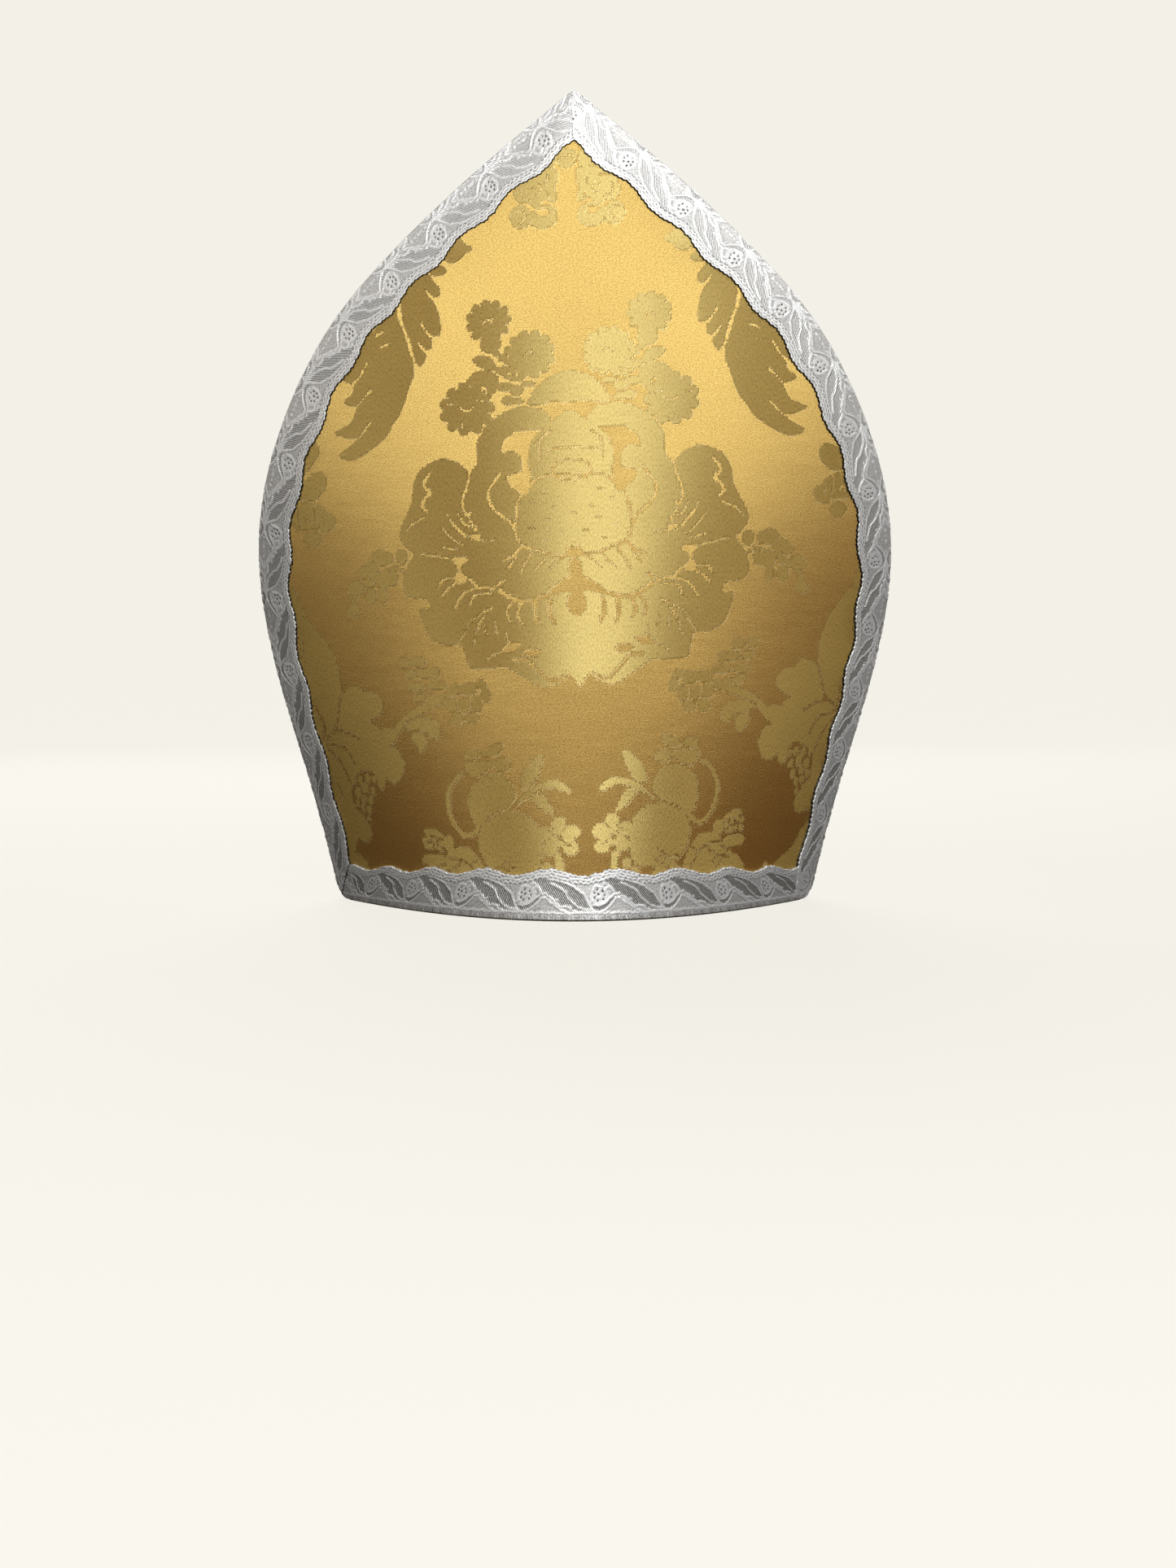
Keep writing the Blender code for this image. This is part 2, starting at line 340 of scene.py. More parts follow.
def distance_to(x, y, line):
    """How far the points lie from a line."""
    nearest = np.full(x.shape, 1e9)
    for (ax, ay), (bx, by) in zip(line, line[1:]):
        dx, dy = bx - ax, by - ay
        f = np.clip(((x - ax) * dx + (y - ay) * dy) / max(dx * dx + dy * dy, 1e-12), 0, 1)
        nearest = np.minimum(nearest, np.hypot(x - ax - f * dx, y - ay - f * dy))
    return nearest


class Chart:
    """Squared paper for one half of the damask: True where the figure is woven."""

    def __init__(self, wide_mm, high_mm, square_mm):
        self.square = square_mm
        self.across = np.arange(square_mm / 2, wide_mm, square_mm)
        self.up = np.arange(square_mm / 2, high_mm, square_mm)
        x, y = np.meshgrid(self.across, self.up)
        row, column = np.indices(x.shape)
        self.x = x + TOOTH_MM * (-1.0) ** row           # so that every edge is woven in small teeth
        self.y = y + TOOTH_MM * (-1.0) ** column
        self.figure = np.zeros(x.shape, bool)

    def _window(self, points, margin):
        low, high = points.min(0) - margin, points.max(0) + margin
        rows = slice(*np.searchsorted(self.up, (low[1], high[1])))
        columns = slice(*np.searchsorted(self.across, (low[0], high[0])))
        return rows, columns

    def _mark(self, window, where, woven):
        self.figure[window][where] = woven

    def fill(self, points, woven=True):
        """A smooth closed form."""
        outline = curve_through(points, closed=True)
        window = self._window(outline, 1.0)
        self._mark(window, lies_in(self.x[window], self.y[window], outline), woven)

    def line(self, points, width, woven=False):
        """A drawn line: a vein where the ground shows through, or a stem."""
        drawn = curve_through(points, closed=False)
        window = self._window(drawn, width)
        near = distance_to(self.x[window], self.y[window], drawn) < width / 2
        self._mark(window, near, woven)

    def beads(self, points, spacing=1.75, size=1.6):
        """A string of single ground squares, as in the stamens."""
        drawn = curve_through(points, closed=False, steps=12)
        run = np.append(0, np.cumsum(np.hypot(*np.diff(drawn, axis=0).T)))
        for at in np.arange(0, run[-1] + 0.01, spacing):
            x, y = (np.interp(at, run, drawn[:, k]) for k in (0, 1))
            self.disc(x, y, size / 2, size / 2, woven=False)

    def disc(self, x, y, half_wide, half_high, woven=True, lobes=0, depth=0.16):
        """An oval, with a lobed rim for a blossom."""
        reach = np.array([[x - half_wide, y - half_high], [x + half_wide, y + half_high]])
        window = self._window(reach, 1.0)
        dx, dy = (self.x[window] - x) / half_wide, (self.y[window] - y) / half_high
        rim = 1.0
        if lobes:
            rim = 1 - depth + depth * 2 * np.abs(np.sin(lobes / 2 * np.arctan2(dy, dx))) ** 0.8
        self._mark(window, np.hypot(dx, dy) < rim, woven)


def weave_tip_blossoms(chart):
    """Under the tip: two small blossoms and, lower, a carnation over two curled petals."""
    chart.disc(0, 325, 4.6, 4.0)
    chart.disc(8.2, 325, 3.3, 3.7)
    chart.line([(3.5, 323.5), (1.5, 326.5), (0, 324.5)], 0.9)
    chart.fill([(23.5, 311), (22, 314), (21, 317), (17, 320), (15.5, 322.5), (11, 321), (8, 321.5),
                (4.5, 320), (4, 316), (5.5, 313), (4.5, 309), (6, 306.5), (10, 308), (14, 304.8),
                (17, 307), (21, 307.5)])
    for line in ([(20, 313.5), (19.3, 309.5), (16, 308)], [(15, 313), (12, 314), (11, 311), (13, 309.5)],
                 [(8, 318.5), (9, 314)], [(19, 317.3), (14, 317.3)], [(8, 311), (7.5, 308)]):
        chart.line(line, 0.9)
    chart.disc(20.3, 301, 4.6, 4.9)
    chart.line([(22.5, 303.8), (19, 303.3), (18.3, 300), (20.5, 298.5)], 1.0)
    chart.disc(10.3, 300.5, 5.9, 5.0)
    chart.disc(10.3, 302.2, 2.8, 2.0, woven=False)
    chart.line([(10.3, 302.2), (16.5, 304.5)], 1.6)


def weave_wing(chart):
    """The leaf tips and the great feathered wing at each upper edge."""
    chart.fill([(42.5, 289.5), (46, 287), (50, 284), (54, 285), (58, 288), (62, 292), (60, 297),
                (55, 299), (49, 296), (46, 292)])
    chart.fill([(54, 280.5), (58, 279), (61, 280), (65, 282.5), (66, 284.5), (61, 285.5), (57, 283.5)])
    chart.fill([(71, 280), (63.3, 280.8), (60, 276), (57, 272.5), (58.5, 269.8), (61.5, 271), (60, 267),
                (58, 263), (57, 258), (57.3, 253.5), (61, 253.2), (61, 248), (63.5, 247), (64, 243),
                (66.8, 240.3), (69, 245), (70, 249.5), (72, 254), (74, 259), (75, 264), (76, 270),
                (82, 276)])
    for slit in ([(63.5, 273.3), (62, 271), (59.5, 268.3)], [(65.7, 258.7), (64, 256), (61.5, 253)],
                 [(67.3, 250.7), (65.5, 248.5), (63, 246)]):
        chart.line(slit, 1.25)
    chart.fill([(78.5, 270), (77.8, 264), (76, 259), (74.3, 255), (72.6, 250), (71.5, 246), (70, 243),
                (69.7, 237), (71.5, 233), (73.2, 228), (76, 222), (79.7, 217), (83.5, 212.5),
                (88.4, 208.5), (94.3, 205.5), (99.3, 203.5), (104, 203), (109.2, 205), (105.3, 207.5),
                (101.3, 209.5), (98.3, 212), (102.4, 212.3), (106.5, 213.5), (110.5, 215),
                (105.6, 217), (101.7, 218.5), (99.5, 222), (98, 225.5), (102, 226.5), (105, 228.3),
                (102, 230), (99.5, 232.5), (99.7, 235.5), (102.5, 236.5), (105.5, 238.5),
                (102.7, 241.5), (101, 245.5), (99, 250), (98, 262), (86, 270)])
    for slit in ([(98.3, 212), (95, 214.5), (92, 217.8)], [(98, 225.8), (95.2, 228.7), (91, 231.8)],
                 [(99.7, 235.8), (96.5, 238.5), (92.8, 243.5)]):
        chart.line(slit, 1.15)
        chart.disc(*slit[-1], 0.9, 0.9, woven=False)
    for speck in ([(89.5, 258), (86.5, 260.5)], [(87.5, 255.5), (84.7, 257)],
                  [(86, 250), (81.5, 251.5)]):
        chart.line(speck, 1.4)


def weave_sprays(chart):
    """The blossoms on leafy stems above the bouquet."""
    chart.disc(35, 257.5, 8.9, 8.0, lobes=11)
    chart.line([(37, 256.3), (35.6, 258.7), (34, 256.8), (32.8, 258.3)], 0.9)
    chart.disc(34, 247.3, 4.5, 3.3)
    chart.disc(17, 242, 9.8, 9.2, lobes=12)
    chart.line([(19.3, 240.6), (17, 243.3), (14.8, 241.3)], 0.9)
    chart.fill([(42.5, 241.3), (39.5, 242.6), (36, 242.5), (33.5, 241), (32, 238.5), (32.5, 236.8),
                (36, 236.6), (39, 238.6)])
    for x, y, wide, high in ((31.5, 243.3, 1.8, 1.1), (28.5, 241.3, 1.8, 1.4), (26.3, 243.6, 1.5, 1.1),
                             (27.8, 236.2, 2.4, 1.4), (28, 229, 3.6, 1.7), (22.3, 227, 3.0, 2.2),
                             (26, 222.8, 2.8, 1.9), (17.5, 229.5, 3.2, 1.2), (21.5, 222.3, 1.8, 1.2)):
        chart.disc(x, y, wide, high)
    chart.line([(31.5, 237), (27, 233.5), (20.5, 231.5)], 1.7, woven=True)
    chart.fill([(45, 231.3), (43, 234.3), (39.5, 236.2), (34, 235.8), (31, 234), (30.8, 229),
                (33.5, 226), (35.5, 228.5), (38, 230.2), (41, 230.3)])
    chart.disc(44.7, 220.6, 11.2, 10.0, lobes=11)
    for line in ([(47.5, 221.7), (45.5, 219.8), (43, 220), (41.5, 221.4)], [(54, 223.3), (51.3, 223)],
                 [(36.3, 229), (35.3, 226)], [(40, 224), (37.3, 223.5)], [(47, 214.3), (46.8, 212)]):
        chart.line(line, 0.95)


def weave_bouquet(chart):
    """The great bouquet in the middle."""
    chart.fill([(72, 186), (71.5, 190), (68.5, 194.8), (63.5, 198.3), (57, 199.8), (51, 198.3),
                (46.5, 195.3), (44.3, 193), (40.3, 197), (35, 200), (30, 200.3), (25.5, 201.3),
                (22.3, 199.3), (20.8, 194), (18, 190), (-2, 190), (-2, 106.5), (4, 105), (8, 102.5),
                (13, 100.3), (18, 101.5), (24, 105), (29, 108.3), (33, 109.8), (38, 109.5),
                (45, 109.5), (49, 110.5), (50.5, 116), (53, 120.3), (60, 120), (67, 123.5),
                (69.5, 127.5), (71, 131), (72.5, 135.5), (71, 139.8), (75, 141.3), (79.5, 143),
                (80.3, 147), (79, 152), (75.5, 157), (73.3, 160), (77.3, 163.5), (80, 167.5),
                (79, 172), (76, 176.5), (74, 180), (72.3, 182.5)])
    chart.fill([(40.3, 194), (40.5, 201), (40.3, 206), (38.5, 209), (36, 213), (33, 215.3),
                (30.5, 216.5), (26.5, 218.3), (21, 219.8), (17.5, 219.5), (10.5, 217.5), (8, 212),
                (14, 209.8), (22, 210), (25, 208.8), (27.5, 207), (29.5, 204.5), (30, 201.5), (32, 196)])
    chart.fill([(17.7, 220.8), (16, 224.5), (13.5, 227.5), (10.5, 230.3), (6, 232.7), (-3, 234),
                (-3, 221.5), (6, 221.6), (12, 220.6)])
    chart.fill([(-2, 215.3), (4, 214.8), (8, 212.6), (12, 209.5), (15, 206.8), (17, 203), (18, 198),
                (18, 193), (17, 189.5), (17.8, 186), (19.5, 182.5), (12, 178), (-2, 178)])
    pockets = ([(29, 203), (28, 206.5), (24.5, 208.8), (20.5, 209.9), (15.5, 209.3), (16.3, 205),
                (18.5, 199.5), (21, 200.8), (25, 201.8)],
               [(28, 190.5), (24, 192), (19, 193), (17.3, 192.5), (17.5, 188), (19, 184),
                (21, 181.8), (24, 184), (27.5, 187.5)],
               [(54.3, 156.8), (50, 158), (46.3, 156.3), (49.5, 154), (50.3, 151), (48, 147.5),
                (52, 145.5), (54.5, 148.3), (52.5, 152)],
               [(-3, 147), (4, 146.5), (9, 143.3), (11, 141), (-3, 140.3)],
               [(33.8, 116.6), (29.5, 119.8), (24.5, 119.7), (27.5, 116)],
               [(24.3, 115), (20.5, 117.3), (15, 115.4), (19, 113.1)],
               [(72, 141.3), (68.5, 140.5), (66.3, 137.6), (68, 135.6), (71, 136.3), (73.5, 137)])
    for pocket in pockets:
        chart.fill(pocket, woven=False)
    for x, y, wide, high in ((0, 157.3, 3.7, 2.4), (0, 150, 3.1, 4.4), (0, 135, 4.4, 5.4),
                             (43.6, 166, 3.0, 1.3)):
        chart.disc(x, y, wide, high, woven=False)
    veins = (
        (2.2, [(19.5, 200.5), (19.7, 195), (20.5, 191.5)]),
        (1.6, [(63.5, 194), (65.7, 191.5), (66.3, 188.5), (63.5, 186), (66.5, 183.2), (68, 180.2),
               (65.5, 178)]),
        (1.1, [(44.3, 194.5), (45.3, 190), (46.3, 186.5), (48, 183), (48.3, 178.5), (46.8, 175)]),
        (1.3, [(31, 191.5), (33.5, 188.5), (36, 185.5), (36.3, 181), (34.3, 177), (31, 174),
               (27.5, 171.5), (25.3, 168)]),
        (1.2, [(22, 182), (24, 178), (24.5, 172), (25.3, 167), (23.5, 162.5), (20, 159.5)]),
        (1.0, [(77.3, 169.3), (73, 173), (67, 175.5)]),
        (1.0, [(70, 159.7), (66, 159), (61, 158.2), (55.5, 157), (52, 155.5)]),
        (1.1, [(52, 150), (47, 147.7), (44, 145)]),
        (1.1, [(53, 148.5), (59, 148.3), (62, 145.2)]),
        (1.1, [(52.5, 147), (57, 144.3), (60.3, 141)]),
        (1.2, [(54.5, 135.8), (52, 139.5), (49.5, 142), (44.5, 143.6), (40, 144), (36.5, 143),
               (33.5, 145), (31, 146)]),
        (1.0, [(46.8, 136.7), (45.3, 140.3), (41, 141.3), (36.8, 141.2)]),
        (1.7, [(33.3, 142.3), (30, 140), (27, 138.2), (24, 137.2), (19, 137.2), (15, 138.3),
               (10, 140), (5, 141.2), (0, 141.3)]),
        (1.3, [(26.5, 138.3), (29.5, 135), (30.2, 131.5), (28.8, 128.8)]),
        (1.3, [(21.8, 137.3), (24.8, 134), (25.4, 130.5), (23.5, 127.5)]),
        (1.6, [(17.7, 136), (18, 130.5), (16.2, 126.8)]),
        (1.6, [(11.3, 137), (11.8, 131.5), (9.8, 127.2)]),
        (1.1, [(30.5, 154.8), (27, 156.3), (22.5, 160), (16, 158.3), (9, 156), (0, 155.6)]),
        (0.95, [(28.8, 151.5), (26.5, 154.5), (24.5, 157.8)]),
        (0.95, [(23.5, 149), (21.5, 153), (18.7, 157)]),
        (0.95, [(17.2, 150), (14, 153), (11.3, 156)]),
        (0.95, [(11, 150), (8, 153), (4.5, 155)]),
        (0.95, [(40, 113.2), (36, 115.3), (30.5, 117.2)]),
        (1.2, [(28.3, 112.3), (22.3, 112), (19, 109), (16.5, 106.3), (13.5, 103.3), (9.5, 103),
               (6, 105.3)]),
        (0.9, [(20, 182), (17, 187), (12, 189.7), (0, 190)]),
        (0.9, [(11, 200.3), (5, 201.4), (0, 201.6)]),
        (0.9, [(0, 196.3), (4.5, 195.7), (7.7, 193.7), (8.2, 191), (5, 188.3), (0, 187.6)]),
        (0.9, [(13.5, 197), (13, 205), (8, 209)]),
    )
    for width, points in veins:
        chart.line(points, width * VEIN_OPEN)
    for string in ([(55.5, 175.5), (53.5, 172), (50.5, 169), (47, 165.5)],
                   [(50.3, 175.5), (48.5, 172), (45.5, 170), (41.5, 168.3)],
                   [(45.3, 176), (45.3, 172.5), (42.5, 170)],
                   [(58.7, 170.5), (55.5, 167), (52, 164), (48, 162)],
                   [(58.5, 162), (54, 161), (50, 160.3)], [(45, 164.8), (39, 164), (33.5, 164)],
                   [(53, 121.5), (50, 125), (48, 128.5), (45, 131), (41, 133.3), (36, 135)],
                   [(46, 120), (45, 124), (43.5, 128), (41, 131)], [(40, 124), (41, 128.5)],
                   [(31, 124), (30, 118)], [(36, 129), (35, 123)]):
        chart.beads(string)
    for x, y in ((12, 183.3), (17, 179.3), (8, 176.3), (0, 173.7), (11, 171.3), (18, 168),
                 (5, 166), (13, 162.5)):
        chart.line([(x - 0.9, y), (x + 0.9, y)], 0.95)


def weave_side_leaves(chart):
    """The leaf spray beside the bouquet, and the flower that the edge galloon cuts across."""
    for leaf in ([(96.3, 160), (93.3, 162.7), (89, 162.2), (85.3, 160.3), (85, 157.3), (90, 155.8),
                  (94.5, 157.3)],
                 [(105.3, 153.3), (101, 157), (96.5, 158.2), (93, 155.3), (95, 152.2), (101, 150.8)],
                 [(112.3, 146.5), (109, 150.3), (105, 150.3), (101.5, 147.3), (106, 144.7),
                  (111, 144.5)],
                 [(114.5, 135.5), (111.5, 139.8), (108.3, 140.3), (106.3, 137), (111.5, 133.7)],
                 [(127.5, 205), (126.5, 209), (123.5, 211.7), (120.3, 210), (120.3, 206), (124, 203),
                  (128, 199.5), (134, 198)],
                 [(129, 195.5), (124, 198.3), (118.8, 198), (117.5, 193.5), (120, 190), (124, 187.5),
                  (131, 186.5), (140, 188)],
                 [(136, 185.8), (129, 186), (124, 184.6), (120.5, 182.5), (120.5, 180), (125, 178.7),
                  (131, 178)],
                 [(123, 180), (118.5, 180.8), (115, 178.7), (115.5, 175.3), (119.5, 173), (125, 173.5)],
                 [(134, 171), (129, 173), (124.3, 171.2), (125, 168), (129, 166), (133, 168)]):
        chart.fill(leaf)
    for x, y, wide, high in ((99, 143, 3.0, 3.6), (91.8, 143.3, 2.5, 3.6), (86, 150.5, 3.2, 3.6),
                             (80, 159, 2.9, 3.4), (91, 149.5, 4.0, 3.2), (98.5, 149, 3.0, 2.0),
                             (130, 178.5, 8.0, 4.6), (136, 181, 5.0, 7.0)):
        chart.disc(x, y, wide, high)
    chart.line([(110, 141), (104, 146), (97, 150.5), (90, 153), (84, 154.5), (76, 152)], 1.6, woven=True)
    chart.line([(139, 187.3), (131, 187), (126, 186)], 1.2)
    chart.line([(134, 173.8), (127, 173.8)], 1.1)
    for line in ([(125.2, 184.5), (125.6, 179.5), (124.3, 174.0)],
                 [(136.3, 184.5), (135.3, 179), (135.3, 174)],
                 [(132.5, 177), (130.8, 180.2), (129.3, 177.6)], [(122.3, 179.5), (120.5, 177)],
                 [(88, 156), (87, 153)], [(95, 146.5), (94.5, 141)], [(103, 149), (99, 150.8)]):
        chart.line(line, 1.2)
    for x, y in ((82, 154.5), (79, 153.3)):
        chart.disc(x, y, 0.85, 0.85, woven=False)


def weave_lily(chart):
    """The great lily at each lower side, with its cluster of berries."""
    chart.fill([(146, 149), (143, 142), (142, 136), (150, 135), (156, 135), (154, 146)])
    chart.fill([(150, 134), (142.5, 135.3), (138, 132.3), (133, 127.3), (129, 123), (126, 118),
                (124, 112), (123.5, 106), (124.3, 100.5), (127, 95.5), (128.3, 90.5), (131, 86.5),
                (136, 84), (142, 82), (150, 83), (156, 90), (156, 125)])
    chart.fill([(124.3, 99.5), (120, 103), (113, 104.3), (109, 101.3), (104, 101.3), (99.3, 99),
                (97.5, 95.3), (100.5, 91.3), (107, 88.3), (103, 86.3), (101.5, 84.3), (97, 85.5),
                (94, 85.3), (92, 83), (91, 80.7), (93, 79), (96, 77), (92, 76.3), (89.2, 73),
                (87.3, 70), (89, 65.3), (92, 62), (96, 61.3), (99.3, 62.7), (101, 64), (101.3, 60.8),
                (104, 58.3), (108, 60), (109.5, 60), (112, 50), (116.5, 43.5), (116.5, 39), (119, 36),
                (123, 34.7), (128, 36), (131, 33), (138, 28), (143, 26), (154, 26), (154, 84),
                (136, 84.2), (131, 86.5), (128.3, 90.5)])
    chart.fill([(132, 30), (128, 28.3), (125, 26), (121, 21), (116, 18), (111, 16), (106, 14),
                (102, 11.3), (99.5, 15.5), (97.3, 15), (97, 8), (97, 1), (150, 1), (150, 28)])
    chart.fill([(126.5, 60), (122, 64.6), (115, 67.3), (109, 66.3), (106.7, 60.3), (108, 55),
                (111.5, 50), (115, 43.5), (118.5, 43.3), (121.5, 47.3), (126, 49.7), (127.5, 55)],
               woven=False)
    for x, y, size in ((122.5, 57, 2.5), (116.5, 59, 2.5), (110.5, 58, 1.9), (113.5, 63.4, 2.1),
                       (119.3, 62.6, 2.0), (118.8, 54.3, 2.1), (113, 53.4, 2.0), (124, 52.3, 1.8),
                       (120.2, 50, 1.7), (115.9, 49.3, 1.9), (117.3, 45.6, 1.5), (124, 61.5, 1.3),
                       (108.9, 62.9, 1.6)):
        chart.disc(x, y, size, size)
    for width, vein in ((1.3, [(124.3, 100.3), (127, 95.3), (129.5, 89), (133, 85), (141, 80.8)]),
                        (1.3, [(141, 81), (136, 83.2), (131, 85), (125, 84), (120, 82.5),
                               (116.5, 81.3)]),
                        (1.3, [(142, 79.5), (134, 78.2), (128, 77.3), (124, 74), (122, 70)]),
                        (1.4, [(141, 77), (136, 74), (132, 70.3), (129, 65.3), (127, 61)]),
                        (1.1, [(139, 62), (136, 58), (135, 55)]),
                        (1.2, [(128, 36), (131.5, 32.5), (131, 28.5)]),
                        (2.0, [(145, 96), (141, 90), (140.5, 85), (144, 81)])):
        chart.line(vein, width)
    for x, y in ((149, 127), (146, 125), (148.5, 122.5), (145.5, 121), (149, 118.5), (145.5, 116)):
        chart.disc(x, y, 0.9, 0.9, woven=False)


def weave_sprig(chart):
    """The slanting sprig of small florets between lily and bouquet."""
    chart.line([(92, 82.3), (86, 87.5), (79, 91.5), (71, 94.3), (62, 97.5), (56, 100.3), (48, 102)],
               3.4, woven=True)
    for x, y, wide, high in ((83, 113.5, 3.2, 2.3), (75, 113.6, 4.0, 2.3), (80.3, 108.3, 3.2, 1.9),
                             (72, 108.5, 4.3, 2.1), (66.3, 108.3, 2.2, 2.4), (77.5, 102.7, 4.6, 1.8),
                             (66, 103, 5.2, 1.8), (76, 98, 3.4, 1.6), (69.5, 97.8, 2.6, 1.5),
                             (58.5, 94.3, 3.5, 3.0), (52, 94.3, 2.8, 3.4), (46.2, 94.3, 2.8, 3.3),
                             (41.8, 98, 2.3, 3.2), (49.3, 99.7, 3.0, 1.7), (44, 102.6, 2.6, 1.7),
                             (56.5, 101.5, 2.6, 1.8), (56.3, 88.1, 3.4, 2.6), (48.9, 88.5, 3.2, 2.4)):
        chart.disc(x, y, wide, high)
    chart.fill([(84, 88), (76, 89.3), (70, 88.5), (66.3, 86.3), (65.3, 82), (67, 79.8), (71, 81),
                (75, 83), (79, 84), (84, 85)])
    chart.fill([(80.5, 83.3), (76, 83.3), (73.5, 80), (74, 76.5), (77, 74.5), (79.5, 77.5), (82, 80)])
    for line in ([(86, 86.3), (78, 89.7), (70, 91.5), (64.5, 94)], [(84, 84), (77, 83.3), (72, 82)],
                 [(61, 97.5), (55.5, 97.8), (50, 97.6), (44.3, 98.3)], [(55.3, 97), (55.3, 91)],
                 [(49.2, 97), (49.2, 91)]):
        chart.line(line, 0.95)


def weave_fruit(chart):
    """The fruits on their curled stem, with leaves and a small flower, above the hem."""
    chart.line([(55.5, 64.5), (60.5, 60.5), (63.3, 55), (63.3, 49), (61.3, 44), (58, 40), (54, 38),
                (50, 39.5), (48.5, 41)], 2.1, woven=True)
    for form in ([(47.5, 61.3), (41, 64.3), (35, 63.3), (31, 58.3), (30.5, 53), (34.5, 49.3),
                  (39.5, 47.3), (43.5, 45), (47.5, 41), (50, 43), (52.3, 48), (52.7, 54), (50.5, 59)],
                 [(53.5, 66.5), (50, 63), (45.5, 64), (41, 66.6), (38.7, 68.4), (43, 70), (49, 69.5),
                  (53, 68.7)],
                 [(38.7, 66), (35, 65.3), (32, 67), (33, 70.3), (37, 70.8), (39.3, 69)],
                 [(53, 70.6), (52, 74), (48.5, 75.3), (45.7, 73.6), (46.3, 71.6), (50, 70.5)],
                 [(45, 72.2), (42.5, 75), (38, 77.3), (35.3, 76.5), (36.5, 73), (41, 71.8)],
                 [(48.5, 36), (46, 42.2), (41, 45.7), (35, 48.3), (29, 47.8), (24, 45.5), (20.3, 41.3),
                  (18.9, 35), (19.1, 28), (21.5, 23), (28, 21.5), (35, 20.5), (43, 24), (47.3, 29.5)],
                 [(27.5, 58), (26.3, 64), (23.3, 68.3), (19.5, 71.5), (17.3, 71.3), (18.3, 66),
                  (21.3, 60.3), (24, 57.3)],
                 [(31.5, 50), (28.5, 51.5), (23.3, 54.3), (19, 56.7), (13.3, 57.2), (9.3, 55.8),
                  (6, 54.8), (8.3, 58.3), (13, 60.8), (19.3, 59.3), (25.3, 56.3)],
                 [(23, 55), (18.5, 54.7), (15.3, 51), (13.3, 46.3), (15, 46.3), (18.7, 49.3),
                  (22, 52.7)],
                 [(79, 40.3), (76, 41.3), (71, 40.5), (67, 38), (69, 36.8), (73, 38), (77, 38.5)],
                 [(67, 29.5), (61, 32.7), (55, 33.3), (51, 31), (47.5, 26.5), (45, 21), (43.5, 15),
                  (46, 8), (55, 8), (62, 18), (66, 24)],
                 [(84, 4), (83, 14), (79.5, 19), (74, 23), (67, 25.3), (60, 24.5), (54, 21),
                  (50.5, 16), (50, 4)]):
        chart.fill(form)
    for x, y, wide, high in ((11.5, 42.3, 3.1, 2.9), (5.9, 38.2, 3.4, 3.1), (6.8, 31.8, 3.3, 3.1),
                             (15.7, 31.8, 3.3, 3.0), (17, 38.3, 3.4, 3.1), (11.5, 35.7, 4.0, 4.0),
                             (17.5, 23.7, 2.2, 1.9), (20.8, 20.6, 2.0, 1.6), (33, 18.3, 4.0, 2.2),
                             (40, 19.3, 2.6, 2.6), (74.5, 27.7, 7.5, 2.7), (64.8, 34.8, 3.2, 3.5),
                             (79.3, 36.3, 1.4, 1.4), (76.3, 37.2, 1.4, 1.3), (73, 36.4, 1.4, 1.3),
                             (78.3, 33, 1.4, 1.4), (75.3, 33.5, 1.3, 1.3), (72.3, 33, 1.3, 1.3),
                             (69.3, 35, 1.5, 1.5), (69.7, 31.7, 1.4, 1.3)):
        chart.disc(x, y, wide, high)
    chart.disc(11.5, 35.7, 1.5, 1.4, woven=False)
    chart.line([(12.3, 28), (11.8, 24), (12, 19), (12, 13)], 3.0, woven=True)
    for line in ([(42, 24.5), (38, 24.3), (35, 26.5), (32.5, 28.3)], [(37, 24.3), (34, 22.3)],
                 [(35, 26.5), (33.5, 24.5), (31, 23.7)], [(67, 28.5), (60, 28), (55.5, 26.5),
                 (51.5, 22.5), (49, 18.5)], [(58, 27.7), (60, 25), (63, 24)], [(53, 25), (50, 27.5)],
                 [(75, 22.3), (70, 21), (66, 22.8), (62, 20)], [(72, 25.3), (68, 20.5), (64, 17)],
                 [(14, 37.5), (16, 39)], [(9.5, 34), (7, 32.5)], [(84, 30.8), (66, 30.6)]):
        chart.line(line, 1.0)


# ---- where the chart lies on the front horn ----
WEAVE_STEP_MM = 0.62        # one square of the chart
WEAVE_WIDE_MM, WEAVE_HIGH_MM = 168, 356     # one half of the chart
CLOTH_TILT = 0.0523         # the cloth is cut about 3 degrees off the square
# height on the chart, and where the pattern's middle line lies across the cloth there
CLOTH_MIDDLE = np.array(((0, 6.4), (37, 5.2), (150, 0.5), (221, -2.3), (257, -2.3), (311, -3.1),
                         (360, -3.8)))
PIVOT = 2                   # the row that the tilt turns about


def chart_damask():
    """The whole chart of the figure, one half drawn and the other turned over."""
    chart = Chart(WEAVE_WIDE_MM, WEAVE_HIGH_MM, WEAVE_STEP_MM)
    for weave in (weave_bouquet, weave_sprays, weave_tip_blossoms, weave_wing, weave_side_leaves,
                  weave_lily, weave_sprig, weave_fruit):
        weave(chart)
    across = np.concatenate([-chart.across[::-1], chart.across])
    return across, chart.up, np.hstack([chart.figure[:, ::-1], chart.figure])


def chart_to_cloth(x_mm, y_mm):
    """From the chart to the flat cloth: along it from the horn's middle, and up, in metres."""
    middle = np.interp(y_mm, *CLOTH_MIDDLE.T)
    pivot_height, pivot_middle = CLOTH_MIDDLE[PIVOT]
    offset = middle - pivot_middle + (y_mm - pivot_height) * CLOTH_TILT
    return (middle + x_mm) * MM, (y_mm + CLOTH_TILT * (x_mm + offset)) * MM
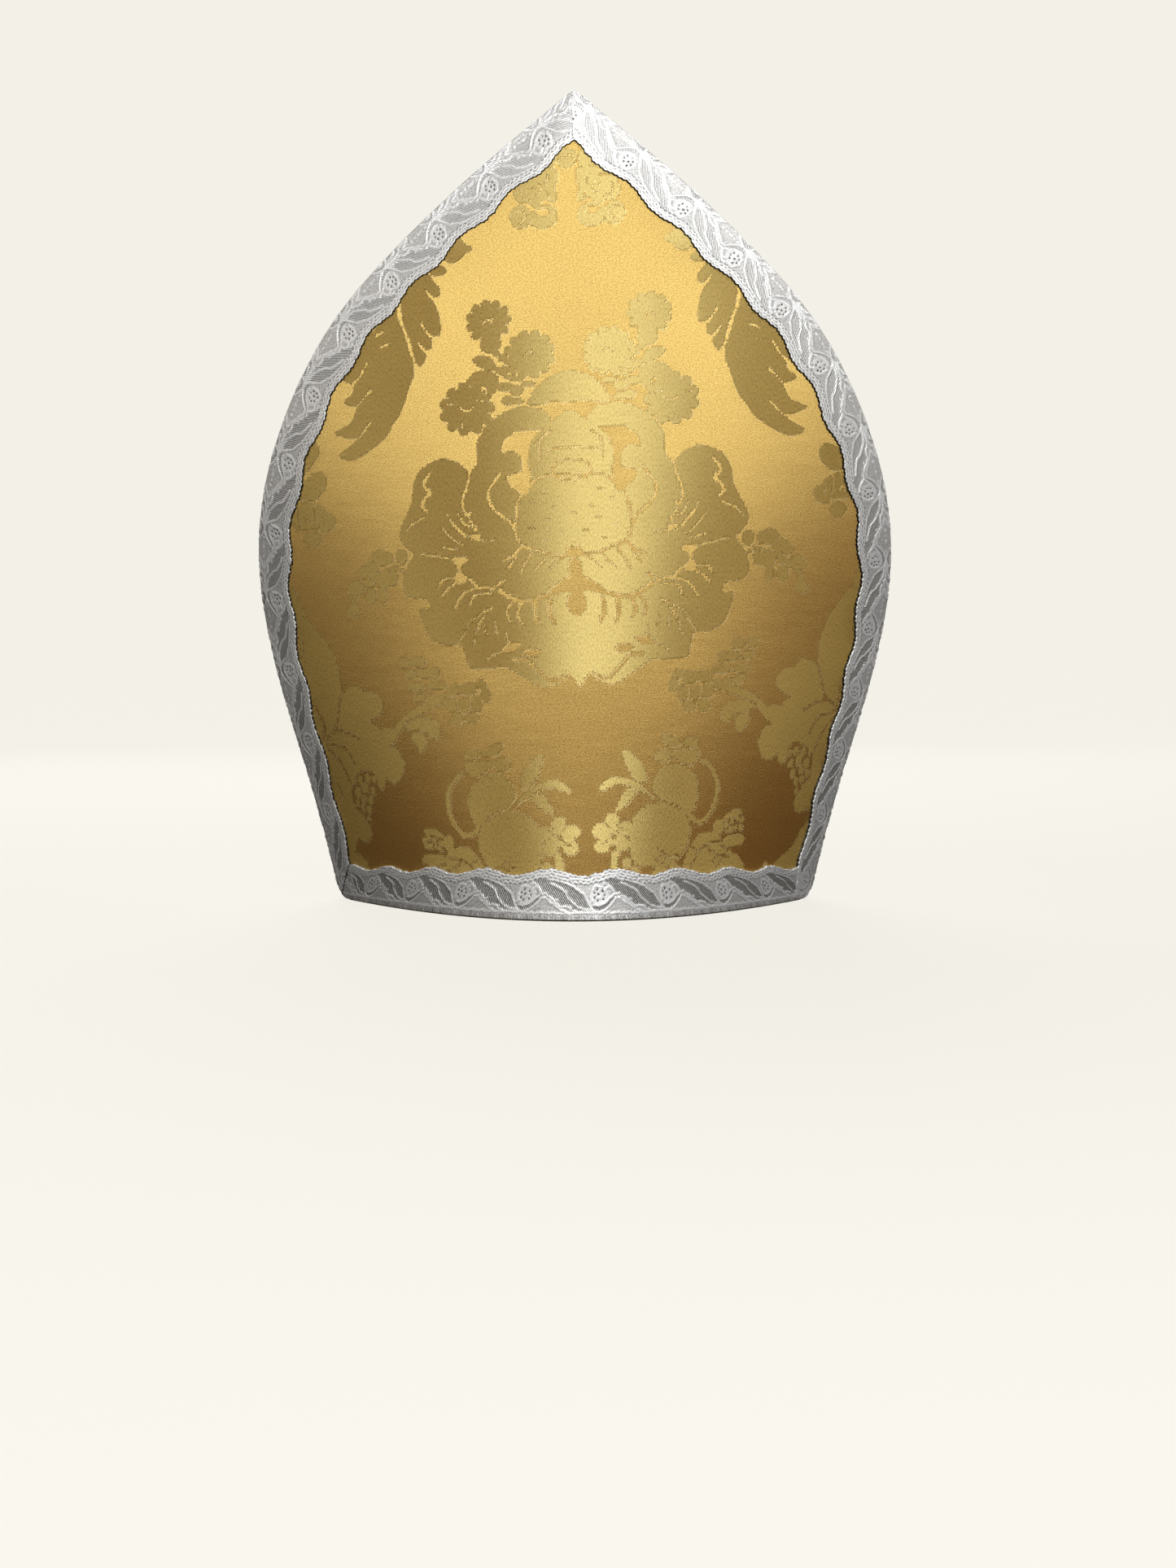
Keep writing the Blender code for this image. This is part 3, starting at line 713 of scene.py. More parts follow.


# the painted shade where the figure's floats end, dark strips on the ground that stand in for their
# shadow: the step up and across to it, and how wide it is
SHADE_MM = (((0, 1), 0.20), ((0, -1), 0.08), ((1, 0), 0.08), ((-1, 0), 0.18))
BROAD_SHADE_MM = 0.16       # beyond a broader painted shade than this lie small raised thread ends, painted bright as glints
GLINT_MM = 0.40             # one such end, beside every other step
LONGEST_FLOAT = 6           # squares in one facet
FLOAT_LIFTS_MM = (0.06, 0.06, 0.075)        # of the floats, the painted shade and the thread ends painted as glints
HIDDEN = 0.007              # the figure ends this far inside the damask's edge, under the galloon


def corners(left, right, low, high):
    """The four corners of each of many rectangles."""
    return np.stack([np.stack([left, low], -1), np.stack([right, low], -1),
                     np.stack([right, high], -1), np.stack([left, high], -1)], 1)


def edge_steps(across, up, figure):
    """Strips of painted shade on the ground along every step of the figure's edge, and the thread ends
    beyond, painted bright as glints.
    """
    half, small = WEAVE_STEP_MM / 2, GLINT_MM / 2
    strips, glints = [], []
    for (rise, run), wide in SHADE_MM:
        rows, columns = np.nonzero(figure & ~np.roll(figure, (-rise, -run), (0, 1)))
        x, y = across[columns], up[rows]
        far = half + wide
        if run:
            ends = np.sort([x + run * half, x + run * far], 0)
            strips.append(corners(*ends, y - half, y + half))
        else:
            ends = np.sort([y + rise * half, y + rise * far], 0)
            strips.append(corners(x - half, x + half, *ends))
        if wide > BROAD_SHADE_MM:
            every = (rows + columns) % 2 == 0
            x, y = x[every] + run * (far + small), y[every] + rise * (far + small)
            glints.append(corners(x - small, x + small, y - small, y + small))
    return np.concatenate(strips), np.concatenate(glints)


TIP_FLAT_FROM, TIP_FLAT_RISE = 0.280, 0.018     # the figure flattens from this height, over this rise
TIP_FLATNESS = 0.65         # 1 would face it straight to the front


def figure_normal(length, height):
    """The way the figure's floats face: nearly flat to the front under the tip."""
    normal = cloth_normal(length, height)
    normal[..., 0] *= 1 - TIP_FLATNESS * np.clip((height - TIP_FLAT_FROM) / TIP_FLAT_RISE, 0, 1)
    return normal / np.linalg.norm(normal, axis=-1, keepdims=True)


def floats_in(across, up, figure):
    """The chart's woven squares, run by run along each row."""
    half = WEAVE_STEP_MM / 2
    columns = np.arange(len(across))
    cut = columns % LONGEST_FLOAT == 0
    runs = []
    for y, row in zip(up, figure):
        starts = row & ~np.append(False, row[:-1])
        ends = row & ~np.append(row[1:], False)
        begin = columns[starts | (row & cut)]
        finish = columns[ends | (row & np.append(cut[1:], False))]
        for a, b in zip(begin, finish):
            runs.append((across[a] - half, across[b] + half, y - half, y + half))
    return corners(*np.array(runs).T)


def woven_figure(name, facing, *surfaces):
    """The figure as thin floats of weft on the damask's face, with strips of painted shade at its steps
    and thread ends painted bright as glints.
    """
    chart = chart_damask()
    shares = floats_in(*chart), *edge_steps(*chart)
    kind = np.repeat(range(len(shares)), [len(share) for share in shares])
    places = np.concatenate(shares)
    length, height = chart_to_cloth(places[..., 0], places[..., 1])
    level = np.clip(height, 0, HEIGHT - 4 * MM)     # the edge's lean is read below the blunt tip
    keep = ((height > HIDDEN) & (height < HEIGHT - 2 * HIDDEN)
            & (np.abs(length) < inside_edge(level, 0.0)[0] - HIDDEN)).all(1)
    length, height, places, kind = length[keep], height[keep], places[keep], kind[keep]
    points = turned(cloth_point(length, height, np.array(FLOAT_LIFTS_MM)[kind, None] * MM), facing)
    normals = turned(figure_normal(length, height), facing)
    faces = np.arange(points.shape[0] * 4).reshape(-1, 4)
    marks = {"cloth_mm": np.dstack([places, np.zeros(places.shape[:2])])}
    made = piece(name, points, faces, surfaces, marks, normals, kind)
    set_thread_axis(made, facing)
    return made


# where the satin's shading normals lean between the horn's middle and its edge: height, and the lean
# there in degrees
SATIN_LEAN = np.array(((0.0, -0.4), (0.06, -0.2), (0.09, 0.6), (0.12, 1.6), (0.15, 3.0), (0.18, 3.6),
                       (0.21, 3.2), (0.25, 2.0), (0.28, 1.2), (0.32, 0.0)))
LEAN_FROM, LEAN_TO = 0.008, 0.045       # along the cloth from the middle, where the lean sets in


def satin_normal(length, height):
    """The way the satin's floats face."""
    side = np.clip((np.abs(length) - LEAN_FROM) / (LEAN_TO - LEAN_FROM), 0, 1)
    lean = np.radians(np.interp(height, *SATIN_LEAN.T)) * side**2 * (3 - 2 * side)
    normal = cloth_normal(length, height) + np.tan(lean)[..., None] * np.array((0, 0, 1))
    return normal / np.linalg.norm(normal, axis=-1, keepdims=True)


GROUND_GRID, BODY_GRID = (141, 113), (90, 61)       # rows and columns of points
BODY_UNDER_MM = 0.08        # the stiffened body lies this far under the damask's face


def damask_ground(name, facing, surface):
    """The satin ground, stretched over the horn from edge to edge."""
    height, across, length = horn_grid(*GROUND_GRID)
    points = turned(horn_point(across, height), facing)
    marks = {"cloth_mm": np.stack([length / MM, height / MM, 0 * height], -1)}
    normals = turned(satin_normal(length, height), facing)
    made = piece(name, points, grid_faces(*GROUND_GRID), [surface], marks, normals)
    set_thread_axis(made, facing)
    return made


def horn_body(name, facing, surface):
    """The stiffened horn under the damask, with its lining turned over the edges."""
    rows, half = BODY_GRID
    height, across, length = horn_grid(rows, half)
    outer = horn_point(across, height, -BODY_UNDER_MM * MM)
    inner = horn_point(across, height, -WALL)
    inner[..., 1] = np.minimum(inner[..., 1], -SEAM_GAP / 2)
    ring = np.concatenate([outer, inner[:, ::-1]], 1)
    columns = ring.shape[1]
    faces = [tuple(face) for face in grid_faces(rows, columns, around=True)]
    for row, flip in ((0, False), (rows - 1, True)):
        for j in range(half - 1):
            quad = [row * columns + j, row * columns + columns - 1 - j,
                    row * columns + columns - 2 - j, row * columns + j + 1]
            faces.append(tuple(quad[::-1] if flip else quad))
    flat = np.stack([length / MM, height / MM, 0 * height], -1)
    marks = {"cloth_mm": np.concatenate([flat, flat[:, ::-1]], 1)}
    return piece(name, turned(ring, facing), faces, [surface], marks)


# ======================================================================
# The galloon's pattern: one repeat, drawn
# ======================================================================

REPEAT_MM = 31.5
GALLOON_MM = 20.6           # the chart's width, past the highest scallop
TILE_STEP_MM = 0.15
SCALLOPS = 14               # small scallops in one repeat
MEAN_ARCH = 0.64            # the mean height of an arch, from 0 to 1
LACE_MM = 18.15             # the middle of the lace edge, from the selvedge
WAVE_MM, WAVE_TOP_MM = 1.30, 25.0       # its long wave, and where in the repeat that is highest
REPEATS = (REPEAT_MM, 0, -REPEAT_MM, -2 * REPEAT_MM)    # the drawn forms run over several repeats
# tones from 0, dark, to 1, white
NET_TONE, LEAF_TONE, SLIT_TONE, ROSETTE_TONE, HOLE_TONE = 0.58, 0.46, 0.34, 0.80, 0.14
SCALLOP_ROWS_MM = (0.35, 1.55, 2.75)    # the cords along the lace edge, in from it
CORD_HALF_MM = 0.42         # half such a cord
SELVEDGE_THREADS = 30       # in one repeat


def scallop_line(along_mm):
    """The galloon's lace edge: one long wave a repeat with small uneven scallops on it."""
    turn = 2 * np.pi * along_mm / REPEAT_MM
    top = 2 * np.pi * WAVE_TOP_MM / REPEAT_MM
    wave = LACE_MM + WAVE_MM * np.cos(turn - top) + 0.15 * np.sin(5 * turn)
    return wave + 0.50 * (np.abs(np.sin(turn * SCALLOPS / 2)) - MEAN_ARCH)


def wander(u, v, seed):
    """A smooth uneven value about 0 that joins up from one repeat to the next."""
    draw = np.random.default_rng(seed)
    total = 0.0
    for _ in range(7):
        waves, slant = int(draw.integers(3, 15)), draw.uniform(-3.0, 3.0)
        total = total + np.sin(2 * np.pi * (waves * u + slant * v) / REPEAT_MM + draw.uniform(0, 6.3))
    return total / 3.0


LEAF = [(17.8, 14.0), (19.6, 15.6), (21.8, 16.3), (24, 15.7), (26.2, 15.5), (28.4, 15.2),
        (31.1, 14.5), (35.1, 13.2), (37.8, 11.6), (40, 10.2), (41.8, 8), (43.1, 5.3), (44.2, 3.3),
        (41.8, 3.2), (38.7, 3.2), (35.6, 4.0), (33.8, 5.3), (31.1, 5.4), (28.4, 7.1), (26.7, 8.9),
        (23.1, 10.7), (21.3, 12.9), (19.6, 13.6)]
CRESCENT = [(44.2, 3.9), (46.2, 3.5), (48, 3.7), (49.8, 4.6), (51.6, 6.0), (52.9, 7.3), (54.3, 9.2),
            (53.3, 9.2), (51.3, 7.7), (49.3, 6.1), (47.1, 5.3), (44.6, 5.5)]
CORDS = (                   # radius, then the line it follows
    (0.42, [(26.2, 14.2), (28.4, 13.1), (31.1, 12), (32.9, 10.7), (33.8, 8.9), (35.6, 7.1),
            (37.8, 5.3), (40, 4.4), (43.4, 4.0)]),
    (0.34, LEAF[:14]),
    (0.34, LEAF[13:] + LEAF[:1]),
    (0.34, [(44.6, 5.7), (47.1, 5.5), (49.3, 6.3), (51.3, 7.9), (53.3, 9.4), (54.8, 9.9)]),
    (0.34, [(43.6, 3.3), (46.2, 3.2), (48, 3.4), (49.8, 4.3), (51.6, 5.7), (52.9, 7.0), (54.6, 8.6),
            (56.2, 8.2), (58, 7.0), (60, 5.7), (62.5, 4.1), (65, 3.1)]),
    (0.30, [(26.7, 7.9), (29.8, 7.7)]),
    (0.30, [(31.1, 5.2), (35.6, 5.0)]),
    (0.34, [(18, 11.4), (20, 12.5), (21.6, 12), (22, 10.7)]),
    (0.30, [(12.2, 6.9), (13.4, 12.3), (17.5, 12.8)]),
    (0.30, [(0, 2.6), (8, 2.7), (16, 2.6), (24, 2.8), (31.5, 2.6)]),
)
ROSETTE = (47.2, 9.5)       # its middle
ROSETTE_WIDE_MM, ROSETTE_HIGH_MM = 4.2, 3.8     # half its size
PETALS = 7                  # the holes round its middle one
PETAL_WIDE_MM, PETAL_HIGH_MM = 2.3, 2.05        # half the ring they lie on
HOLE_MM = 0.52              # half a hole's width
CORD_SPREAD = 1.35          # the drawn cords swell by this much


def galloon_tile():
    """Height in mm, tone and share of ribs over one repeat of the galloon."""
    u, v = np.meshgrid(np.arange(0, REPEAT_MM, TILE_STEP_MM), np.arange(0, GALLOON_MM, TILE_STEP_MM),
                       indexing="ij")
    draw = np.random.default_rng(7)
    height = 0.05 * draw.standard_normal(u.shape)
    tone = NET_TONE + 0.08 * draw.standard_normal(u.shape)
    ribs = np.zeros(u.shape)
    straight_u, straight_v = u, v
    u, v = u + 0.22 * wander(u, v, 3), v + 0.20 * wander(u, v, 4)
    for shift in REPEATS:
        for form, depth in ((LEAF, -0.18), (CRESCENT, -0.15)):
            outline = curve_through(np.array(form) + (shift, 0), closed=True)
            inside = lies_in(u, v, outline)
            height[inside], tone[inside], ribs[inside] = depth, LEAF_TONE, 1.0
    cu, cv = ROSETTE[0] - REPEAT_MM, ROSETTE[1]
    field = np.hypot((u - cu) / ROSETTE_WIDE_MM, (v - cv) / ROSETTE_HIGH_MM) < 1
    tone[field], height[field] = ROSETTE_TONE, 0.14
    ring = [k * math.pi / (PETALS / 2) for k in range(PETALS)]
    holes = [(cu, cv)] + [(cu + PETAL_WIDE_MM * math.cos(turn), cv + PETAL_HIGH_MM * math.sin(turn))
                          for turn in ring]
    for hu, hv in holes:
        hole = np.hypot(u - hu, v - hv) < HOLE_MM
        tone[hole], height[hole] = HOLE_TONE, -0.25
    for shift in REPEATS:
        for radius, points in CORDS:
            line = curve_through(np.array(points) + (shift, 0), closed=False)
            near = distance_to(u, v, line)
            crown = np.sqrt(np.maximum(1 - (near / (radius * CORD_SPREAD)) ** 2, 0))
            on = crown > 0
            height[on] = np.maximum(height[on], 0.32 * crown[on])
            tone[on] = np.maximum(tone[on], 0.50 + 0.45 * crown[on])
    edge = scallop_line(straight_u)
    for k, reach in enumerate(SCALLOP_ROWS_MM):
        arch = np.abs(np.sin(np.pi * (straight_u * SCALLOPS / REPEAT_MM + 0.5 * k)))
        wave = 0.0 if k == 0 else 0.40 * (arch - MEAN_ARCH)
        arcs = edge - reach + wave + 0.22 * wander(u, v, 11 + k)
        crown = np.sqrt(np.maximum(1 - (np.abs(straight_v - arcs) / CORD_HALF_MM) ** 2, 0))
        slit = (straight_v < arcs - CORD_HALF_MM) & (straight_v > arcs - 1.00) & (arch > 0.45)
        tone[slit], height[slit], ribs[slit] = SLIT_TONE, -0.12, 0.0
        band = crown > 0
        height[band], tone[band], ribs[band] = 0.28 * crown[band], 0.55 + 0.42 * crown[band], 0.0
    selvedge = straight_v < 1.9 + 0.5 * wander(u, v, 21)
    slant = straight_u + 0.25 * straight_v + 0.25 * wander(u, v, 22)
    share = slant * SELVEDGE_THREADS / REPEAT_MM
    worn = draw.uniform(0.35, 1.0, SELVEDGE_THREADS)[np.floor(share).astype(int) % SELVEDGE_THREADS]
    thread = (np.sin(np.pi * (share % 1.0)) ** 1.5 * worn)[selvedge]
    height[selvedge], tone[selvedge], ribs[selvedge] = 0.02 + 0.26 * thread, 0.26 + 0.70 * thread, 0.0
    return height, np.clip(tone, 0, 1), ribs


def tile_value(tile, along_mm, across_mm):
    """Reads the galloon's chart between its squares; it repeats along and ends across."""
    rows, columns = tile.shape
    i = (along_mm % REPEAT_MM) / TILE_STEP_MM
    j = np.clip(across_mm / TILE_STEP_MM, 0, columns - 1.001)
    i0, j0 = np.floor(i).astype(int), np.floor(j).astype(int)
    fi, fj = i - i0, j - j0
    i0, i1 = i0 % rows, (i0 + 1) % rows
    return ((tile[i0, j0] * (1 - fi) + tile[i1, j0] * fi) * (1 - fj)
            + (tile[i0, j0 + 1] * (1 - fi) + tile[i1, j0 + 1] * fi) * fj)


GALLOON_TILE = galloon_tile()
TURN_MM = 2.9               # the pattern beside the selvedge that is turned over the horn's edge
# three points under the selvedge, so far in from it and up from the horn's face, and two at the foot,
# so far past the lace edge; the flat braid's rise is given in shares of its lift
ROLLED_BACK_MM, ROLLED_UP_MM, ROLLED_FOOT_MM = (-0.35, -0.45, -0.30), (-1.9, -0.8, -0.1), (0.0, 0.36)
FLAT_BACK_MM, FLAT_UP, FLAT_FOOT_MM = (0.0, 0.0, 0.0), (0.15, 0.4, 0.7), (0.0, 0.15)
RELIEF = 0.8                # how much of the chart's height the braid keeps
FOOT_RISE = (0.55, 0.10)    # of its foot past the lace edge, as shares of its lift
LEAF_TONE_SHIFT, LEAF_PAINTED_LIGHT = -0.12, 0.34       # of the ribbed leaves: a shift at the rim, and the painted light gained up to the tip, where more light falls on the silver
TURNED_ROWS = 3             # rows at each mitred end that are turned under: laid flat, and painted dark as the shade in the mitre's fold


def galloon_strip(name, facing, surface, outer, inner, along_mm, step_mm, width, lift, rolled,
                  cut_mm=None, foot_painted_shade_tone=0.0):
    """A length of galloon whose selvedge follows outer and whose lace edge lies past inner.

    outer and inner hold, row by row, places on the flat cloth, a width apart; along_mm is each row's
    place in the pattern and cut_mm how far across it is cut off. A rolled selvedge turns over the
    horn's edge. The lace edge stands off the damask; its foot comes down toward the damask and is
    painted dark along the edges, as the shadow under the lace edge, and a lighter tone along the hem.
    """
    lace = scallop_line(along_mm) + 0.16 * wander(along_mm * 0.618, 0.0, 31)
    if cut_mm is not None:
        lace = np.clip(cut_mm, 0.0, lace)
    v = np.linspace(0, 1, int(GALLOON_MM / step_mm) + 1) * lace[:, None]
    u = along_mm[:, None] + 0 * v
    drawn = np.where(v < TURN_MM, 2 * TURN_MM - v, v) if rolled else v      # its selvedge is turned in
    height, tone, ribs = (tile_value(tile, u, drawn) for tile in GALLOON_TILE)
    bright = np.clip(outer[:, 1:] / HEIGHT, 0, 1)           # painted light: the leaves grow lighter toward the tip, where more light falls on the silver
    tone = tone + ribs * (LEAF_PAINTED_LIGHT * bright**2 + LEAF_TONE_SHIFT)
    # the hem's mitred ends are painted dark, as the shade in the fold where the braid turns under
    if not rolled:
        for ends in (tone, height, ribs):
            ends[:TURNED_ROWS] = ends[-TURNED_ROWS:] = 0.0
    across = inner - outer
    size = np.hypot(across[:, :1], across[:, 1:]) + 1e-9
    toward = across / size                                  # from the selvedge to the lace edge
    back, foot = (ROLLED_BACK_MM, ROLLED_FOOT_MM) if rolled else (FLAT_BACK_MM, FLAT_FOOT_MM)
    reach = np.concatenate([0 * v[:, :3] + back, v, lace[:, None] + foot], 1)
    place = outer[:, None, :] + (reach * MM * np.mean(size) / width)[..., None] * toward[:, None, :]
    under = np.array(ROLLED_UP_MM) * MM if rolled else np.array(FLAT_UP) * lift
    rise = np.concatenate([0 * v[:, :3] + under, lift + height * MM * RELIEF,
                           0 * v[:, :2] + tuple(share * lift for share in FOOT_RISE)], 1)

    def widened(values, last):
        """The marks of the turned selvedge, from the strip's first column, and of the foot."""
        return np.concatenate([values[:, :1]] * 3 + [values, 0 * values[:, :2] + last], 1)

    # the foot's tone is painted shade: dark along the edges, as the shadow under the lace edge
    tone, ribs = widened(tone, foot_painted_shade_tone), widened(ribs, 0.0)
    u = np.repeat(u[:, :1], tone.shape[1], 1)
    v = np.concatenate([0 * v[:, :3], v, lace[:, None] + (0, 0.3)], 1)
    level = np.clip(place[..., 1], 0.0, HEIGHT + 0.001)
    points = cloth_point(place[..., 0], level, rise)
    marks = {"tone": tone, "ribs": ribs, "galloon_mm": np.stack([u, v, 0 * u], -1)}
    return piece(name, turned(points, facing), grid_faces(*tone.shape, flip=True), [surface], marks)


# where the galloon's rosettes lie: down the left edge from the tip, up the right edge from the rim
LEFT_ROSETTES_MM = (-11.5, 20, 50.8, 81.7, 111.7, 143.3, 177.5, 211.7, 246.7, 278.3, 312.5, 345, 377,
                    409, 440.5)
RIGHT_ROSETTES_MM = (-23.7, 7.8, 37.8, 66.7, 94.4, 124.4, 156.7, 190, 222.2, 255, 287.5, 319.4, 351,
                     383, 414.5, 446)
# past the tip the galloon runs on: three places on the cloth, and how much further along each lies
OVER_TIP = np.array(((0.0015, HEIGHT), (0.0007, HEIGHT + 0.0003), (0.0, HEIGHT + 0.0004)))
OVER_TIP_MM = np.array((0.7, 1.4, 2.0))


def edge_galloon(name, facing, surface, side, step_mm, lift):
    """The galloon along one edge; side is -1 for the left and 1 for the right, seen from outside."""
    fine = np.linspace(0.0, HEIGHT - 0.0006, 1200)          # heights up the edge, to just under the tip
    outer = np.stack([edge_length(fine), fine], -1)
    run = np.append(0, np.cumsum(np.hypot(*np.diff(outer, axis=0).T))) / MM
    steps = np.arange(0, run[-1], step_mm)
    heights = np.interp(steps, run, fine)
    length, level = inside_edge(heights, EDGE_WIDTH)
    outer = np.stack([edge_length(heights), heights], -1)
    inner = np.stack([length, level], -1)
    inner = np.concatenate([inner, OVER_TIP + (inner[-1] - outer[-1])])
    outer = np.concatenate([outer, OVER_TIP])
    steps = np.append(steps, steps[-1] + OVER_TIP_MM)
    crossing = outer[:, 0] / np.maximum(outer[:, 0] - inner[:, 0], 1e-9) * EDGE_WIDTH / MM
    lap = TIP_LAP_MM if side > 0 else 0.0
    rosettes, run_down = (LEFT_ROSETTES_MM, run[-1] - steps) if side < 0 else (RIGHT_ROSETTES_MM, steps)
    pattern = ROSETTE[0] + REPEAT_MM * np.arange(len(rosettes))
    along = np.interp(run_down, rosettes, pattern)
    outer, inner = outer * (side, 1), inner * (side, 1)
    order = slice(None, None, -1) if side > 0 else slice(None)
    return galloon_strip(name, facing, surface, outer[order], inner[order], along[order], step_mm,
                         EDGE_WIDTH, lift, rolled=True, cut_mm=(crossing + lap)[order])


def hem_galloon(name, facing, surface, step_mm, phase_mm):
    """The galloon along the hem, mitred over the edge galloons at the lower corners."""
    below = float(edge_length(np.array(HEM_CLEAR))) - MITRE_GAP
    low, high = 0.0, 2 * GALLOON_WIDTH              # the height where both braids' lace edges meet
    for _ in range(40):
        mid = (low + high) / 2
        reached = inside_edge(np.array(mid), GALLOON_WIDTH)[1] < HEM_CLEAR + GALLOON_WIDTH
        low, high = (mid, high) if reached else (low, mid)
    above = float(inside_edge(np.array(low), GALLOON_WIDTH)[0]) - MITRE_GAP
    f = np.linspace(-1, 1, int(2 * below / MM / step_mm))
    outer = np.stack([f * below, np.full(f.shape, HEM_CLEAR)], -1)
    inner = np.stack([f * above, np.full(f.shape, HEM_CLEAR + GALLOON_WIDTH)], -1)
    along = f * (above + below) / 2 / MM + phase_mm
    # the hem's foot is painted a lighter tone than the edges' painted shadow, as it lies in the light
    return galloon_strip(name, facing, surface, outer[::-1], inner[::-1], along[::-1], step_mm,
                         GALLOON_WIDTH, GALLOON_LIFT * 1.25, rolled=False, foot_painted_shade_tone=0.45)


# ======================================================================
# The gusset
# ======================================================================

def gusset(name, surface):
    """The soft cloth between the horns: sewn inside both edges and folded down along the middle."""
    depth = -(WALL + GUSSET_SEAT + GUSSET_THICK / 2)
    rows, columns = GUSSET_GRID
    start_length, start_level = inside_edge(np.array(GUSSET_START), GUSSET_TURNING)
    start = cloth_point(start_length, start_level, depth)
    place = np.linspace(-1, 1, rows)
    f = 1 - np.abs(place)
    side = np.sign(place)
    height = GUSSET_START + (HEIGHT - 2 * GUSSET_TURNING - GUSSET_START) * f
    length, level = inside_edge(height, GUSSET_TURNING)
    edge = cloth_point(np.maximum(length, 0.0), np.minimum(level, height), depth)
    edge[:, 0] *= side
    fold_x = side * start[0] * (1 - f) ** 0.9
    fold_z = FOLD_HEIGHT + FOLD_RISE * (1 - f) ** 6
    g = np.linspace(-1, 1, columns)
    drop = np.minimum(np.sqrt((1 - np.abs(g)) ** 2 + CREASE), 1.0)
    drop[[0, -1]] = 0.0
    x = edge[:, 0:1] + (fold_x[:, None] - edge[:, 0:1]) * drop
    z = edge[:, 2:3] + (fold_z[:, None] - edge[:, 2:3]) * drop
    y = -edge[:, 1:2] * g
    run = np.append(0, np.cumsum(np.hypot(np.diff(edge[:, 0]), np.diff(edge[:, 2]))))
    slack = (4 * drop * (1 - drop)) * np.minimum(1, 6 * f)[:, None]
    run = run[:, None]
    ripple = 0.0016 * np.sin(run / 0.021 + 5 * drop) + 0.0009 * np.sin(run / 0.0093 + 2)
    y = y + np.sign(g) * -slack * (ripple + 0.0012)
    points = np.stack([x + 0 * y, y, z + 0 * y], -1)
    flat = np.stack([run / MM + 0 * y, drop * 150 + 0 * y, 0 * y], -1)
    made = piece(name, points, grid_faces(rows, columns), [surface], {"cloth_mm": flat})
    thick = made.modifiers.new("cloth thickness", "SOLIDIFY")
    thick.thickness = GUSSET_THICK
    thick.offset = 0.0
    return made


# ======================================================================
# Materials
# ======================================================================

class Wire:
    """A node's output in a material, so that sums on it are written as sums."""

    def __init__(self, cloth, socket):
        self.cloth, self.socket = cloth, socket

    def _sum(self, operation, *terms):
        return self.cloth.node("ShaderNodeMath", {"operation": operation}, terms)

    def __add__(self, other):
        return self._sum("ADD", self, other)

    def __sub__(self, other):
        return self._sum("SUBTRACT", self, other)

    def __rsub__(self, other):
        return self._sum("SUBTRACT", other, self)

    def __mul__(self, other):
        return self._sum("MULTIPLY", self, other)

    __radd__, __rmul__ = __add__, __mul__

    def sine(self):
        return self._sum("SINE", self)

    def within(self, low, high):
        """How far the value lies between two others, held to 0 and 1."""
        return self.cloth.node("ShaderNodeMapRange", {"clamp": True}, (self, low, high, 0.0, 1.0))


def socket_name(word):
    """The shader's own name of a socket: specular_ior_level is Specular IOR Level."""
    return word.replace("_", " ").title().replace("Ior", "IOR")


class Surface:
    """A material, built node by node."""

    def __init__(self, name, **constants):
        self.made = bpy.data.materials.new(name)
        self.made.use_nodes = True
        self.tree = self.made.node_tree
        self.shader = next(n for n in self.tree.nodes if n.type == "BSDF_PRINCIPLED")
        for socket, value in constants.items():
            self.shader.inputs[socket_name(socket)].default_value = value

    def node(self, kind, settings=None, sockets=(), output=0):
        """Adds a node: its settings first, then its sockets' values or links, by place or name."""
        node = self.tree.nodes.new(kind)
        for name, value in (settings or {}).items():
            if name == "stops":
                ramp = node.color_ramp
                for _ in range(len(value) - 2):
                    ramp.elements.new(0.5)
                for element, (at, tone) in zip(ramp.elements, value):
                    element.position, element.color = at, (*tone, 1)
            else:
                setattr(node, name, value)
        pairs = sockets.items() if isinstance(sockets, dict) else enumerate(sockets)
        for key, value in pairs:
            self.join(node.inputs[key], value)
        return Wire(self, node.outputs[output])

    def join(self, socket, value):
        """Sets a socket to a value, or links it."""
        if isinstance(value, Wire):
            self.tree.links.new(value.socket, socket)
        else:
            socket.default_value = value

    def dress(self, **sockets):
        """Links what changes over the surface to the shader."""
        for name, value in sockets.items():
            self.join(self.shader.inputs[socket_name(name)], value)
        return self.made

    def mark(self, name, output="Fac"):
        """A value that the mesh keeps at its points."""
        return self.node("ShaderNodeAttribute", {"attribute_name": name}, output=output)

    def across_and_up(self, vector):
        """The first two values of a vector."""
        return [self.node("ShaderNodeSeparateXYZ", {}, (vector,), axis) for axis in (0, 1)]

    def stretched(self, vector, scale):
        """A vector whose three values are each multiplied."""
        return self.node("ShaderNodeVectorMath", {"operation": "MULTIPLY"}, (vector, scale))

    def noise(self, vector, scale, detail=2.0):
        """Soft noise from 0 to 1, with so many waves a unit of the vector."""
        return self.node("ShaderNodeTexNoise", {"noise_dimensions": "3D"},
                         {"Vector": vector, "Scale": scale, "Detail": detail, "Roughness": 0.55})

    def mixed(self, share, one, other):
        """A colour between two."""
        return self.node("ShaderNodeMix", {"data_type": "RGBA"}, {0: share, 6: one, 7: other}, 2)

    def bumped(self, height, distance, strength=1.0):
        """The way the surface faces, bumped by a height times a distance."""
        return self.node("ShaderNodeBump", {}, {"Strength": strength, "Distance": distance,
                                                "Height": height})


def colour(red, green, blue):
    """A colour for a socket."""
    return (red, green, blue, 1.0)


